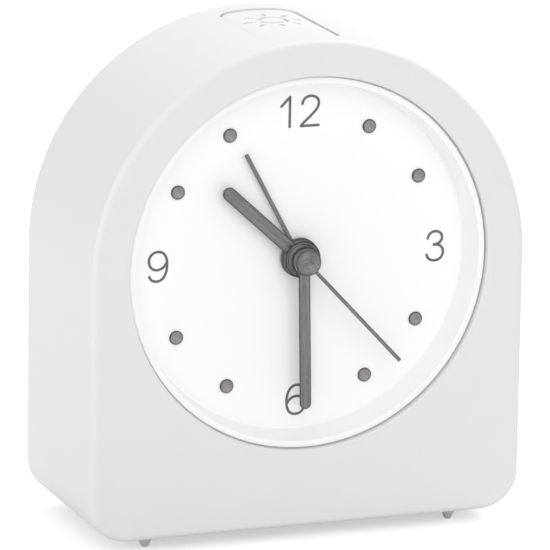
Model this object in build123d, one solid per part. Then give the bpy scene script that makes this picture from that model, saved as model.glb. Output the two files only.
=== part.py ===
from build123d import *

import math
import os

# A bedside quartz alarm clock in an arched case, with a night light behind its dial ring.
# Lengths are millimetres. X runs to the right seen from the front, Y from front to back, Z up.
# The origin lies under the middle of the case, on the surface that the feet stand on.
# A depth is measured backwards from the front of the case. A place is (x, z) from the dial axis.

# Case: an arch whose centre lies a little below the dial axis
CASE_WIDTH = 90.0
CASE_DEPTH = 39.0
AXIS_RISE = 52.85
ARCH_DROP = 0.65
CORNER_RADIUS = 7.6
CASE_WALL = 2.0
FRONT_WALL = 2.2
FRONT_EDGE = 1.2
REAR_EDGE = 0.6
FRONT_BORDER = 7.7
WINDOW_EDGE = 0.25

# Clearances and the overrun of every cut
CUT_OVERRUN = 1.0
RUN_CLEARANCE = 0.05
PRESS_CLEARANCE = 0.02
PLAY = 0.3
COVER_PLAY = 0.25

# Feet
FOOT_HEIGHT = 2.6
FOOT_TOP_RADIUS = 1.75
FOOT_TIP_RADIUS = 0.5
FOOT_TIP_EDGE = 0.25
FOOT_SPACING = 64.0
FOOT_FRONT_DEPTH = 5.0
FOOT_REAR_SETBACK = 5.0
FOOT_PEG_RADIUS = 1.0
FOOT_PEG_LENGTH = 1.6

# Lens
LENS_GAP = 0.35
LENS_EDGE_DEPTH = 0.5
LENS_THICKNESS = 0.9
LENS_SAG = 0.5
LENS_CHAMFER = 0.2

# Dial ring and dial
COLLAR_WIDTH = 1.15
RING_TAPER = 1.0
RING_WALL = 1.4
RING_LAP = 0.6
RING_FLANGE_THICKNESS = 1.4
DIAL_DEPTH = 7.5
DIAL_THICKNESS = 0.8

# Chassis plate, its notch under the button and its shelf for the button board
CHASSIS_THICKNESS = 1.6
CHASSIS_PLAY = 0.4
NOTCH_WIDTH = 19.0
NOTCH_GAP = 0.3
SHELF_WIDTH = 22.0
SHELF_RISE = 27.0
SHELF_THICKNESS = 1.4
SHELF_REAR_SETBACK = 10.0
GUSSET_GAP = 1.5
GUSSET_REACH = 14.0
GUSSET_THICKNESS = 1.4
GUSSET_SPACING = 19.0

# Posts of the case: long ones carry the rear cover, short ones the chassis
COVER_POST_RADIUS = 2.4
COVER_POST_SETBACK = 2.0
COVER_POST_ANGLE = 35.0
COVER_POST_INSET = 5.0
CHASSIS_POST_RADIUS = 2.3
CHASSIS_POST_SETBACK = 2.2
CHASSIS_POST_ANGLE = 72.0
CHASSIS_POST_X = 28.0
POST_NOTCH_PLAY = 0.4

# Screws: radius and length of the shank, radius and height of the head, then the driver slot
COVER_SCREW = (1.0, 10.0, 1.7, 1.2)
CHASSIS_SCREW = (0.9, 5.5, 1.8, 1.1)
PLATE_SCREW = (0.8, 2.8, 1.6, 1.0)
MOVEMENT_SCREW = (0.8, 13.8, 1.6, 1.0)
SCREW_SLOT_WIDTH = 0.5
SCREW_SLOT_DEPTH = 0.55
SCREW_ROUND_SHARE = 0.62

# Snooze and light button
BUTTON_WIDTH = 15.6
BUTTON_REAR_ROOM = 0.3
BUTTON_CORNER = 2.6
BUTTON_GAP = 0.3
BUTTON_SUNK = 0.3
BUTTON_EDGE = 0.25
BUTTON_TRAVEL = 1.0
BUTTON_LIP = 1.0
BUTTON_LIP_THICKNESS = 1.2
BUTTON_LIP_GAP = 0.2
STEM_RADIUS = 2.2
GUIDE_RADIUS = 1.1
GUIDE_SPACING = 11.6
GUIDE_OVERREACH = 1.2
MARK_DEPTH = 0.35
MARK_SHIFT = 3.5
MARK_RING_RADIUS = 2.7
MARK_LINE = 0.9
MARK_RAY_COUNT = 8
MARK_RAY_START = 4.1
MARK_RAY_END = 6.2

# Button springs, board, push switch and plunger
SPRING_RADIUS = 1.45
SPRING_WIRE_RADIUS = 0.2
SPRING_TURNS = 7
SPRING_SEAT_GAP = 0.25
BOARD_THICKNESS = 1.2
BUTTON_BOARD_WIDTH = 16.0
BUTTON_BOARD_LENGTH = 7.6
SWITCH_SIDE = 6.0
SWITCH_HEIGHT = 3.6
PLUNGER_RADIUS = 1.75
PLUNGER_SUNK = 1.2
PLUNGER_PROUD = 1.4
PLUNGER_END_GAP = 0.4

# Night light strip above the dial ring
STRIP_WIDTH = 22.0
STRIP_THICKNESS = 1.0
STRIP_FRONT_GAP = 0.3
LAMP_COUNT = 3
LAMP_SPACING = 8.0
LAMP_WIDTH = 3.0
LAMP_HEIGHT = 0.8
LAMP_LENGTH = 2.0
LAMP_RING_GAP = 0.4

# Movement housing, from the dial axis outwards
MOVEMENT_COIL_ROOM = 5.0
MOVEMENT_RIGHT = 23.0
MOVEMENT_DROP = 18.5
MOVEMENT_TRAIN_ROOM = 2.88
MOVEMENT_CORNER = 3.0
MOVEMENT_WALL = 1.2
PLATE_THICKNESS = 1.4
EAR_RADIUS = 3.0
EAR_REACH = 3.0
COLUMN_RADIUS = 2.0
COLUMN_INSET = 2.6
BUSH_RADIUS = 3.0
BUSH_PROUD = 0.3
BUSH_PLAY = 0.2
REAR_WALL_AIR = 1.0

# Movement bridge on three pillars
BRIDGE_THICKNESS = 1.2
BRIDGE_WIDTH = 31.5
BRIDGE_HEIGHT = 29.0
BRIDGE_PLACE = (0.75, -2.0)
BRIDGE_CORNER = 2.5
PILLAR_RADIUS = 1.2
PILLAR_PLACES = ((-10.5, 6.5), (13.5, 4.5), (-3.0, -14.5))

# Wheels: thickness of a wheel and the air between one layer of wheels and the next
WHEEL_THICKNESS = 0.8
WHEEL_AIR = 0.5
FIRST_AIR = 0.4
PRESSURE_ANGLE = 20.0
WHEEL_ADDENDUM_SHARE = 0.5
PINION_ADDENDUM_SHARE = 0.85
WHEEL_DEDENDUM_SHARE = 1.2
PINION_DEDENDUM_SHARE = 0.8
FLANK_SHARES = (0.0, 0.4, 0.75, 1.0)
BACKLASH = 0.08

# Teeth and modules of the trains
ROTOR_TEETH = 8
INTERMEDIATE_TEETH = 40
INTERMEDIATE_PINION_TEETH = 8
SECOND_TEETH = 48
SECOND_PINION_TEETH = 8
THIRD_TEETH = 64
THIRD_PINION_TEETH = 8
CENTRE_TEETH = 60
CANNON_TEETH = 12
MINUTE_TEETH = 36
MINUTE_PINION_TEETH = 10
HOUR_TEETH = 40
TIME_SET_TEETH = 12
ALARM_TEETH = 46
ALARM_SET_TEETH = 20
GOING_MODULE = 0.25
MOTION_MODULE_SHARE = 1.4
ALARM_MODULE_SHARE = 1.2

# Directions from one axis to the next, in degrees from +X towards +Z
THIRD_ANGLE = 60.0
INTERMEDIATE_ANGLE = 150.0
ROTOR_ANGLE = 200.0
MINUTE_WHEEL_ANGLE = 300.0
TIME_SET_ANGLE = -10.0
ALARM_SET_ANGLE = 235.0

# Arbors and the nested pipes of the hands
SECOND_ARBOR_RADIUS = 0.5
MINUTE_PIPE_WALL = 0.4
HOUR_PIPE_WALL = 0.5
ALARM_PIPE_WALL = 0.55
THIRD_ARBOR_RADIUS = 0.6
INTERMEDIATE_ARBOR_RADIUS = 0.6
ROTOR_ARBOR_RADIUS = 0.5
PIVOT_LENGTH = 0.9
SET_ARBOR_RADIUS = 1.2
STUD_RADIUS = 0.8
STUD_COLLAR_RADIUS = 1.1
STUD_PROUD = 0.2
MINUTE_HUB_RADIUS = 1.3
COLLAR_GAP = 0.1

# Stepping motor
MAGNET_RADIUS = 2.2
MAGNET_GAP = 0.5
MAGNET_LENGTH = 2.2
MAGNET_SEAT_GAP = 0.2
STATOR_THICKNESS = 0.8
STATOR_LEFT = 10.3
STATOR_RIGHT = 3.5
STATOR_HALF_HEIGHT = 9.0
STATOR_LEG = 3.5
STATOR_WINDOW_WIDTH = 3.0
STATOR_WINDOW_HALF = 6.0
BOBBIN_WALL = 0.7
BOBBIN_CHEEK = 0.8
BOBBIN_CHEEK_SIDE = 7.2
BOBBIN_PLAY = 0.1
WINDING_SIDE = 6.6
WINDING_CORNER = 1.2

# Circuit board of the movement
CIRCUIT_WIDTH = 7.4
CIRCUIT_HEIGHT = 17.5
CIRCUIT_PLACE = (17.7, 5.75)
CIRCUIT_THICKNESS = 1.0
CIRCUIT_STANDOFF = 0.8
STANDOFF_RADIUS = 0.8
STANDOFF_INSET = 1.3
CHIP_SIDE = 4.6
CHIP_HEIGHT = 1.2
CHIP_DROP = 4.0
CRYSTAL_RADIUS = 1.0
CRYSTAL_LENGTH = 6.0
CRYSTAL_RISE = 4.0

# Alarm contact: a leaf between the alarm wheel and the hour wheel
CONTACT_THICKNESS = 0.2
CONTACT_WIDTH = 2.0
CONTACT_START = 5.0
CONTACT_END = 15.0
CONTACT_POST_X = 13.8

# Numbers and dots on the dial
NUMBER_RING_SHARE = 0.833
NUMBER_HEIGHT = 5.9
NUMBER_STROKE = 0.52
NUMBER_RISE = 0.08
DOT_RADIUS = 1.4
DOT_RISE = 0.3
DOT_EDGE = 0.12
DOT_HOURS = (1, 2, 4, 5, 7, 8, 10, 11)

# Strokes of the numbers: points of smooth curves across and up, as shares of the number's height
ONE_SHARES = (
    ((-0.665, 0.7), (-0.365, 1.0)),
    ((-0.365, 1.0), (-0.365, 0.0)),
)
TWO_SHARES = (
    ((0.075, 0.75), (0.095, 0.9), (0.215, 1.0), (0.365, 1.0), (0.535, 1.0), (0.655, 0.9), (0.655, 0.76),
     (0.655, 0.58), (0.505, 0.46), (0.365, 0.32), (0.235, 0.2), (0.115, 0.12), (0.035, 0.0)),
    ((0.035, 0.0), (0.655, 0.0)),
)
THREE_SHARES = (
    ((-0.265, 0.77), (-0.245, 0.91), (-0.135, 1.0), (0.0, 1.0), (0.145, 1.0), (0.25, 0.91), (0.25, 0.785),
     (0.25, 0.65), (0.135, 0.555), (-0.045, 0.545)),
    ((-0.045, 0.545), (0.155, 0.56), (0.295, 0.45), (0.295, 0.29), (0.295, 0.12), (0.165, 0.0), (-0.01, 0.0),
     (-0.165, 0.0), (-0.275, 0.09), (-0.295, 0.21)),
)
NINE_SHARES = (
    ((-0.3, 0.17), (-0.26, 0.06), (-0.17, 0.0), (-0.045, 0.0), (0.16, 0.0), (0.315, 0.2), (0.315, 0.56),
     (0.315, 0.84), (0.2, 1.0), (-0.005, 1.0), (-0.19, 1.0), (-0.32, 0.865), (-0.32, 0.69),
     (-0.32, 0.51), (-0.2, 0.385), (-0.035, 0.385), (0.11, 0.385), (0.24, 0.48), (0.305, 0.64)),
)

# Hands: clock angle, tip radius as a share of the dial's free radius, widths, then the hubs
HAND_THICKNESS = 0.4
ALARM_HAND_ANGLE = 331.7
ALARM_HAND_SHARE = 0.695
ALARM_HAND_ROOT = 1.15
ALARM_HAND_TIP = 0.8
ALARM_HUB_RADIUS = 3.9
ALARM_HUB_LENGTH = 1.0
ALARM_HUB_AIR = 0.6
HOUR_HAND_ANGLE = 312.5
HOUR_HAND_SHARE = 0.635
HOUR_HAND_WIDTH = 2.7
HOUR_HUB_RADIUS = 3.7
HOUR_HUB_LENGTH = 1.1
MINUTE_HAND_ANGLE = 178.5
MINUTE_HAND_SHARE = 0.865
MINUTE_HAND_WIDTH = 2.35
MINUTE_HUB_RADIUS_FRONT = 2.9
MINUTE_HUB_LENGTH = 1.0
SECOND_HAND_ANGLE = 136.9
SECOND_HAND_SHARE = 0.845
SECOND_HAND_ROOT = 1.0
SECOND_HAND_TIP = 0.75
SECOND_CAP_RADIUS = 2.6
SECOND_CAP_LENGTH = 1.9
SECOND_CAP_EDGE = 0.2
SECOND_CAP_SKIN = 0.5
HUB_AIR = 0.2
HUB_GROOVE_DEPTH = 0.12
HUB_GROOVE_SHARES = (0.3, 0.7)
HUB_GROOVE_SHARE = 0.12
BLADE_SEAT_SHARE = 0.5

# Rear cover with its battery tray
COVER_THICKNESS = 1.8
COVER_RECESS = 3.4
ARBOR_HOLE_PLAY = 0.4
TRAY_WALL = 1.2
TRAY_LENGTH = 58.0
TRAY_HEIGHT = 15.0
TRAY_DEPTH = 15.2
TRAY_LIFT = 1.8
DOOR_LAP = 1.2
DOOR_THICKNESS = 1.0
DOOR_PLAY = 0.25
DOOR_CORNER = 1.2
DOOR_GRIP_COUNT = 5
DOOR_GRIP_WIDTH = 0.8
DOOR_GRIP_PITCH = 1.8
DOOR_GRIP_LENGTH = 12.0
DOOR_GRIP_DEPTH = 0.4

# Battery cell and contacts
CELL_RADIUS = 7.1
CELL_LENGTH = 49.2
CELL_EDGE = 0.6
CELL_NUB_RADIUS = 2.7
CELL_NUB_LENGTH = 1.2
CELL_SEAT_GAP = 0.1
CONTACT_PLATE_THICKNESS = 0.5
CONTACT_PLATE_SIDE = 12.0
CELL_SPRING_RADIUS = 4.2
CELL_SPRING_TIP_RADIUS = 2.6
CELL_SPRING_WIRE_RADIUS = 0.35
CELL_SPRING_TURNS = 4
CELL_SPRING_GAP = 0.1

# Knobs
KNOB_RADIUS = 6.2
KNOB_THICKNESS = 2.6
KNOB_AIR = 0.4
KNOB_EDGE = 0.4
KNOB_FLUTES = 24
KNOB_FLUTE_RADIUS = 0.45
KNOB_DISH_RADIUS = 4.4
KNOB_DISH_DEPTH = 0.6
KNOB_BOSS_RADIUS = 2.0

# Alarm slide switch
SLIDE_PLACE = (-22.0, -8.0)
SLIDE_TRAVEL = 3.0
SLIDE_BODY_WIDTH = 9.6
SLIDE_BODY_HEIGHT = 4.8
SLIDE_BODY_DEPTH = 4.0
SLIDE_POCKET_DEPTH = 2.0
SLIDE_STEM = 2.2
SLIDE_PAD_WIDTH = 3.4
SLIDE_PAD_HEIGHT = 3.6
SLIDE_PAD_THICKNESS = 1.4
SLIDE_PLAY = 0.15

# Sounder behind the holes of the rear cover
SOUNDER_PLACE = (0.0, 21.0)
SOUNDER_RADIUS = 10.5
SOUNDER_WALL = 1.0
SOUNDER_HEIGHT = 4.2
DISC_THICKNESS = 0.6
DISC_STEP = 1.4
SOUND_HOLE_RADIUS = 0.8
SOUND_RING_PITCH = 3.2
SOUND_RING_COUNTS = (1, 6, 12)

# Leads between the boards, the battery, the lamps and the sounder
LEAD_RADIUS = 0.5
LEAD_PITCH = 1.6
LEAD_BEND = 0.8
LEAD_HOLE_PLAY = 0.2
LEAD_COUNT = 8
BUTTON_LEAD_SLOT = 2
LAMP_LEAD_SLOT = 4
SOUNDER_LEAD_SLOT = 6
LEAD_FIRST_Z = -1.5
LEAD_END_INSET = 0.6
LEAD_END_LENGTH = 1.2
LEAD_SIDE_GAP = 3.0
BATTERY_LEAD_RISE = 11.2
BATTERY_LEAD_SETBACK = 7.6
BATTERY_LEAD_REACH = 2.3
LAMP_LEAD_REACH = 2.0
LAMP_LEAD_SETBACK = 1.3
LAMP_LEAD_BEHIND = 3.1
LAMP_LEAD_RISE = 4.0
BUTTON_LEAD_REACH = 5.0
BUTTON_LEAD_SHIFT = 1.7
BUTTON_LEAD_BEHIND = 8.0
BUTTON_LEAD_RISE = 2.0
SOUNDER_LEAD_SHIFT = 5.0
SOUNDER_LEAD_AIR = 2.6

# Derived places
FRONT = -CASE_DEPTH / 2
AXIS_HEIGHT = FOOT_HEIGHT + AXIS_RISE
ARCH_PLACE = (0, -ARCH_DROP)
INNER_RADIUS = CASE_WIDTH / 2 - CASE_WALL
WINDOW_RADIUS = CASE_WIDTH / 2 - FRONT_BORDER
LENS_RADIUS = WINDOW_RADIUS - LENS_GAP
COLLAR_INNER_RADIUS = LENS_RADIUS - COLLAR_WIDTH
RING_FOOT_RADIUS = COLLAR_INNER_RADIUS - RING_TAPER
LENS_SEAT = LENS_EDGE_DEPTH + LENS_THICKNESS
RING_OUTER_RADIUS = RING_FOOT_RADIUS + RING_WALL
RING_FLANGE_RADIUS = WINDOW_RADIUS + RING_LAP
CHASSIS_FRONT = DIAL_DEPTH + DIAL_THICKNESS
CHASSIS_BACK = CHASSIS_FRONT + CHASSIS_THICKNESS
PLATE_BACK = CHASSIS_BACK + PLATE_THICKNESS
COVER_BACK = CASE_DEPTH - COVER_RECESS
COVER_FRONT = COVER_BACK - COVER_THICKNESS
BUTTON_DEPTH = CASE_DEPTH / 2
BUTTON_END_SETBACK = COVER_RECESS + COVER_THICKNESS + BUTTON_GAP + BUTTON_REAR_ROOM
BUTTON_LENGTH = CASE_DEPTH - 2 * BUTTON_END_SETBACK
BUTTON_TOP = CASE_WIDTH / 2 - BUTTON_SUNK
LIP_TOP = INNER_RADIUS - BUTTON_LIP_GAP
LIP_UNDER = LIP_TOP - BUTTON_LIP_THICKNESS
SHELF_TOP = SHELF_RISE + SHELF_THICKNESS
SWITCH_BASE = SHELF_TOP + BOARD_THICKNESS
SWITCH_TOP = SWITCH_BASE + SWITCH_HEIGHT
STEM_END = SWITCH_TOP + PLUNGER_PROUD
SWITCH_BORE_DEPTH = PLUNGER_SUNK + BUTTON_TRAVEL + PLUNGER_END_GAP

# Layers of the movement, from the front plate backwards
LAYER_PITCH = WHEEL_THICKNESS + WHEEL_AIR
ALARM_LAYER = PLATE_BACK + FIRST_AIR
HOUR_LAYER = ALARM_LAYER + LAYER_PITCH
CANNON_LAYER = HOUR_LAYER + LAYER_PITCH
CENTRE_LAYER = CANNON_LAYER + LAYER_PITCH
BRIDGE_FRONT = CENTRE_LAYER + LAYER_PITCH
BRIDGE_BACK = BRIDGE_FRONT + BRIDGE_THICKNESS
THIRD_LAYER = BRIDGE_BACK + WHEEL_AIR
SECOND_LAYER = THIRD_LAYER + LAYER_PITCH
INTERMEDIATE_LAYER = SECOND_LAYER + LAYER_PITCH
REAR_WALL_FRONT = INTERMEDIATE_LAYER + WHEEL_THICKNESS + REAR_WALL_AIR
MOVEMENT_BACK = REAR_WALL_FRONT + MOVEMENT_WALL

# Radii of the nested pipes
MINUTE_PIPE_BORE = SECOND_ARBOR_RADIUS + RUN_CLEARANCE
MINUTE_PIPE_RADIUS = MINUTE_PIPE_BORE + MINUTE_PIPE_WALL
HOUR_PIPE_BORE = MINUTE_PIPE_RADIUS + RUN_CLEARANCE
HOUR_PIPE_RADIUS = HOUR_PIPE_BORE + HOUR_PIPE_WALL
ALARM_PIPE_BORE = HOUR_PIPE_RADIUS + RUN_CLEARANCE
ALARM_PIPE_RADIUS = ALARM_PIPE_BORE + ALARM_PIPE_WALL

# Depths of the hubs, from the dial forwards
ALARM_HUB_BACK = DIAL_DEPTH - ALARM_HUB_AIR
ALARM_HUB_FRONT = ALARM_HUB_BACK - ALARM_HUB_LENGTH
HOUR_HUB_BACK = ALARM_HUB_FRONT - HUB_AIR
HOUR_HUB_FRONT = HOUR_HUB_BACK - HOUR_HUB_LENGTH
MINUTE_HUB_BACK = HOUR_HUB_FRONT - HUB_AIR
MINUTE_HUB_FRONT = MINUTE_HUB_BACK - MINUTE_HUB_LENGTH
SECOND_CAP_BACK = MINUTE_HUB_FRONT - HUB_AIR
SECOND_CAP_FRONT = SECOND_CAP_BACK - SECOND_CAP_LENGTH

# Ring on which the numbers and dots stand
NUMBER_RING = NUMBER_RING_SHARE * RING_FOOT_RADIUS

# Lengths of the hands
ALARM_HAND_LENGTH = ALARM_HAND_SHARE * RING_FOOT_RADIUS
HOUR_HAND_LENGTH = HOUR_HAND_SHARE * RING_FOOT_RADIUS
MINUTE_HAND_LENGTH = MINUTE_HAND_SHARE * RING_FOOT_RADIUS
SECOND_HAND_LENGTH = SECOND_HAND_SHARE * RING_FOOT_RADIUS

# Battery tray and cell
TRAY_LOW = CASE_WALL + TRAY_LIFT + TRAY_WALL - AXIS_RISE
TRAY_HIGH = TRAY_LOW + TRAY_HEIGHT
TRAY_FRONT = COVER_FRONT - TRAY_DEPTH
CELL_PLACE_Z = TRAY_LOW + CELL_RADIUS + CELL_SEAT_GAP
CELL_DEPTH = TRAY_FRONT + TRAY_DEPTH / 2
CELL_NUB_END = CONTACT_PLATE_THICKNESS - TRAY_LENGTH / 2
CELL_LEFT = CELL_NUB_END + CELL_NUB_LENGTH
CELL_RIGHT = CELL_LEFT + CELL_LENGTH

# Circuit board and the leads that end on it
CIRCUIT_BACK = REAR_WALL_FRONT - CIRCUIT_STANDOFF
CIRCUIT_FACE = CIRCUIT_BACK - CIRCUIT_THICKNESS
LEAD_DEPTH = CIRCUIT_FACE - LEAD_END_LENGTH
LEAD_RUN_X = MOVEMENT_RIGHT + LEAD_SIDE_GAP
BATTERY_LEAD_Z = TRAY_LOW + BATTERY_LEAD_RISE
BATTERY_LEAD_DEPTH = TRAY_FRONT + BATTERY_LEAD_SETBACK
LEAD_CORRIDOR_Z = (TRAY_HIGH + TRAY_WALL - MOVEMENT_DROP) / 2
LAMP_BASE = RING_OUTER_RADIUS + LAMP_RING_GAP + LAMP_HEIGHT
STRIP_FRONT = FRONT_WALL + RING_FLANGE_THICKNESS + STRIP_FRONT_GAP
NOTCH_RISE = LAMP_BASE + STRIP_THICKNESS + NOTCH_GAP
LAMP_LEAD_X = STRIP_WIDTH / 2 + LAMP_LEAD_REACH
LAMP_LEAD_Z = LAMP_BASE + STRIP_THICKNESS / 2

O = (0, 0)


def polar(start, radius, angle):
    """The place at a distance and an angle from another place."""
    turn = math.radians(angle)
    return (start[0] + radius * math.cos(turn), start[1] + radius * math.sin(turn))


def centre_distance(first_teeth, second_teeth, module):
    """The distance between two meshed axes."""
    return (first_teeth + second_teeth) * module / 2


# Axes of the movement
THIRD_DISTANCE = centre_distance(SECOND_PINION_TEETH, THIRD_TEETH, GOING_MODULE)
INTERMEDIATE_DISTANCE = centre_distance(INTERMEDIATE_PINION_TEETH, SECOND_TEETH, GOING_MODULE)
ROTOR_DISTANCE = centre_distance(ROTOR_TEETH, INTERMEDIATE_TEETH, GOING_MODULE)
MOTION_MODULE = MOTION_MODULE_SHARE * GOING_MODULE
MOTION_DISTANCE = centre_distance(CANNON_TEETH, MINUTE_TEETH, MOTION_MODULE)
TIME_SET_DISTANCE = centre_distance(MINUTE_TEETH, TIME_SET_TEETH, MOTION_MODULE)
ALARM_MODULE = ALARM_MODULE_SHARE * GOING_MODULE
ALARM_SET_DISTANCE = centre_distance(ALARM_TEETH, ALARM_SET_TEETH, ALARM_MODULE)
CENTRE_MODULE = 2 * THIRD_DISTANCE / (THIRD_PINION_TEETH + CENTRE_TEETH)
HOUR_MODULE = 2 * MOTION_DISTANCE / (MINUTE_PINION_TEETH + HOUR_TEETH)
THIRD_PLACE = polar(O, THIRD_DISTANCE, THIRD_ANGLE)
INTERMEDIATE_PLACE = polar(O, INTERMEDIATE_DISTANCE, INTERMEDIATE_ANGLE)
ROTOR_PLACE = polar(INTERMEDIATE_PLACE, ROTOR_DISTANCE, ROTOR_ANGLE)
MINUTE_WHEEL_PLACE = polar(O, MOTION_DISTANCE, MINUTE_WHEEL_ANGLE)
TIME_SET_PLACE = polar(MINUTE_WHEEL_PLACE, TIME_SET_DISTANCE, TIME_SET_ANGLE)
ALARM_SET_PLACE = polar(O, ALARM_SET_DISTANCE, ALARM_SET_ANGLE)
MOVEMENT_LEFT = STATOR_LEFT + MOVEMENT_COIL_ROOM - ROTOR_PLACE[0]
THIRD_TIP_RADIUS = (THIRD_TEETH / 2 + WHEEL_ADDENDUM_SHARE) * GOING_MODULE
MOVEMENT_RISE = THIRD_PLACE[1] + THIRD_TIP_RADIUS + MOVEMENT_TRAIN_ROOM + MOVEMENT_WALL
GUSSET_DROP = SHELF_RISE - MOVEMENT_RISE - GUSSET_GAP

# Places of posts, screws and columns
COVER_POST_RING = INNER_RADIUS - COVER_POST_SETBACK
CHASSIS_POST_RING = INNER_RADIUS - CHASSIS_POST_SETBACK
COVER_POST_LOW = CASE_WALL + COVER_POST_INSET - AXIS_RISE
UPRIGHT = 90.0
HOUR_ANGLE = 30.0
COVER_POST_PLACES = [
    polar(ARCH_PLACE, COVER_POST_RING, UPRIGHT - COVER_POST_ANGLE),
    polar(ARCH_PLACE, COVER_POST_RING, UPRIGHT + COVER_POST_ANGLE),
    (INNER_RADIUS - COVER_POST_INSET, COVER_POST_LOW),
    (COVER_POST_INSET - INNER_RADIUS, COVER_POST_LOW),
]
CHASSIS_POST_PLACES = [
    polar(ARCH_PLACE, CHASSIS_POST_RING, UPRIGHT - CHASSIS_POST_ANGLE),
    polar(ARCH_PLACE, CHASSIS_POST_RING, UPRIGHT + CHASSIS_POST_ANGLE),
    (CHASSIS_POST_X, COVER_POST_LOW),
    (-CHASSIS_POST_X, COVER_POST_LOW),
]
EAR_PLACES = [
    (-MOVEMENT_LEFT - EAR_REACH, 0),
    (MOVEMENT_RIGHT + EAR_REACH, 0),
]
COLUMN_PLACES = [
    (x, z)
    for x in (COLUMN_INSET - MOVEMENT_LEFT, MOVEMENT_RIGHT - COLUMN_INSET)
    for z in (COLUMN_INSET - MOVEMENT_DROP, MOVEMENT_RISE - COLUMN_INSET)
]
FOOT_PLACES = [
    (x, depth)
    for x in (-FOOT_SPACING / 2, FOOT_SPACING / 2)
    for depth in (FOOT_FRONT_DEPTH, CASE_DEPTH - FOOT_REAR_SETBACK)
]
GUIDE_DEPTHS = (BUTTON_DEPTH - GUIDE_SPACING / 2, BUTTON_DEPTH + GUIDE_SPACING / 2)


# Ways to carry an outline
def slab(outline, near, far):
    """Carries an outline in x and z from one depth to another."""
    plane = Plane(origin=(0, FRONT + far, AXIS_HEIGHT), x_dir=(1, 0, 0), z_dir=(0, -1, 0))
    return extrude(plane * outline, amount=far - near)


def tower(outline, low, high):
    """Carries an outline in x and depth from one height above the axis to another."""
    plane = Plane(origin=(0, FRONT, AXIS_HEIGHT + low), x_dir=(1, 0, 0), z_dir=(0, 0, 1))
    return extrude(plane * outline, amount=high - low)


def beam(outline, left, right):
    """Carries an outline in depth and z from one x to another."""
    plane = Plane(origin=(left, FRONT, AXIS_HEIGHT), x_dir=(0, 1, 0), z_dir=(1, 0, 0))
    return extrude(plane * outline, amount=right - left)


def drum(place, radius, near, far):
    """A round bar that runs from front to back."""
    return slab(Pos(*place) * Circle(radius), near, far)


def hole(place, radius, near, far):
    """A round cutter that overruns both faces."""
    return drum(place, radius, near - CUT_OVERRUN, far + CUT_OVERRUN)


def turned(profile, place=O):
    """Turns an outline in radius and depth about an axis that runs from front to back."""
    base = (place[0], FRONT, AXIS_HEIGHT + place[1])
    plane = Plane(origin=base, x_dir=(1, 0, 0), z_dir=(0, 0, 1))
    return revolve(plane * profile, Axis(base, (0, 1, 0)))


def outline_of(*points):
    """A flat face inside straight edges."""
    return make_face(Polyline(*points, close=True))


def box_outline(left, low, right, high):
    """A rectangle between two corners."""
    return Pos((left + right) / 2, (low + high) / 2) * Rectangle(right - left, high - low)


def arch_outline(inset):
    """The outline of the case, moved inwards."""
    side = CASE_WIDTH / 2 - inset
    foot = inset - AXIS_RISE
    corner = CORNER_RADIUS - inset
    edges = [
        Line((corner - side, foot), (side - corner, foot)),
        RadiusArc((side - corner, foot), (side, foot + corner), -corner),
        Line((side, foot + corner), (side, -ARCH_DROP)),
        ThreePointArc((side, -ARCH_DROP), (0, side - ARCH_DROP), (-side, -ARCH_DROP)),
        Line((-side, -ARCH_DROP), (-side, foot + corner)),
        RadiusArc((-side, foot + corner), (corner - side, foot), -corner),
    ]
    return make_face(edges)


# Gears
def involute(angle):
    """The involute of an angle in radians."""
    return math.tan(angle) - angle


def gear(place, teeth, module, addendum_share, dedendum_share, phase, near, far):
    """A gear with straight facets on involute flanks, one tooth centred at the phase angle."""
    pitch = teeth * module / 2
    pressure = math.radians(PRESSURE_ANGLE)
    base = pitch * math.cos(pressure)
    tip = pitch + addendum_share * module
    root = pitch - dedendum_share * module
    half_tooth = (math.pi * module / 2 - BACKLASH) / (2 * pitch)
    start = max(base, root)
    flank = [(root, start)] if root < base else []
    flank += [(start + (tip - start) * share,) * 2 for share in FLANK_SHARES]
    side = [(radius, half_tooth + involute(pressure) - involute(math.acos(base / max(base, at))))
            for radius, at in flank]
    points = []
    for tooth in range(teeth):
        middle = math.radians(phase) + math.tau * tooth / teeth
        for radius, half in side:
            points.append((radius * math.cos(middle - half), radius * math.sin(middle - half)))
        for radius, half in reversed(side):
            points.append((radius * math.cos(middle + half), radius * math.sin(middle + half)))
    return slab(Pos(*place) * outline_of(*points), near, far)


def wheel(place, teeth, module, phase, layer):
    """A wheel in its layer."""
    return gear(place, teeth, module, WHEEL_ADDENDUM_SHARE, WHEEL_DEDENDUM_SHARE, phase, layer,
                layer + WHEEL_THICKNESS)


def pinion(place, teeth, module, phase, layer):
    """A pinion in its layer."""
    return gear(place, teeth, module, PINION_ADDENDUM_SHARE, PINION_DEDENDUM_SHARE, phase, layer,
                layer + WHEEL_THICKNESS)


def meshed_phase(teeth, phase, next_teeth, angle):
    """The phase of the next gear, which lies at an angle from this one and meshes with it."""
    half_turn = math.degrees(math.pi)
    return angle + half_turn - half_turn / next_teeth - (phase - angle) * teeth / next_teeth


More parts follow.
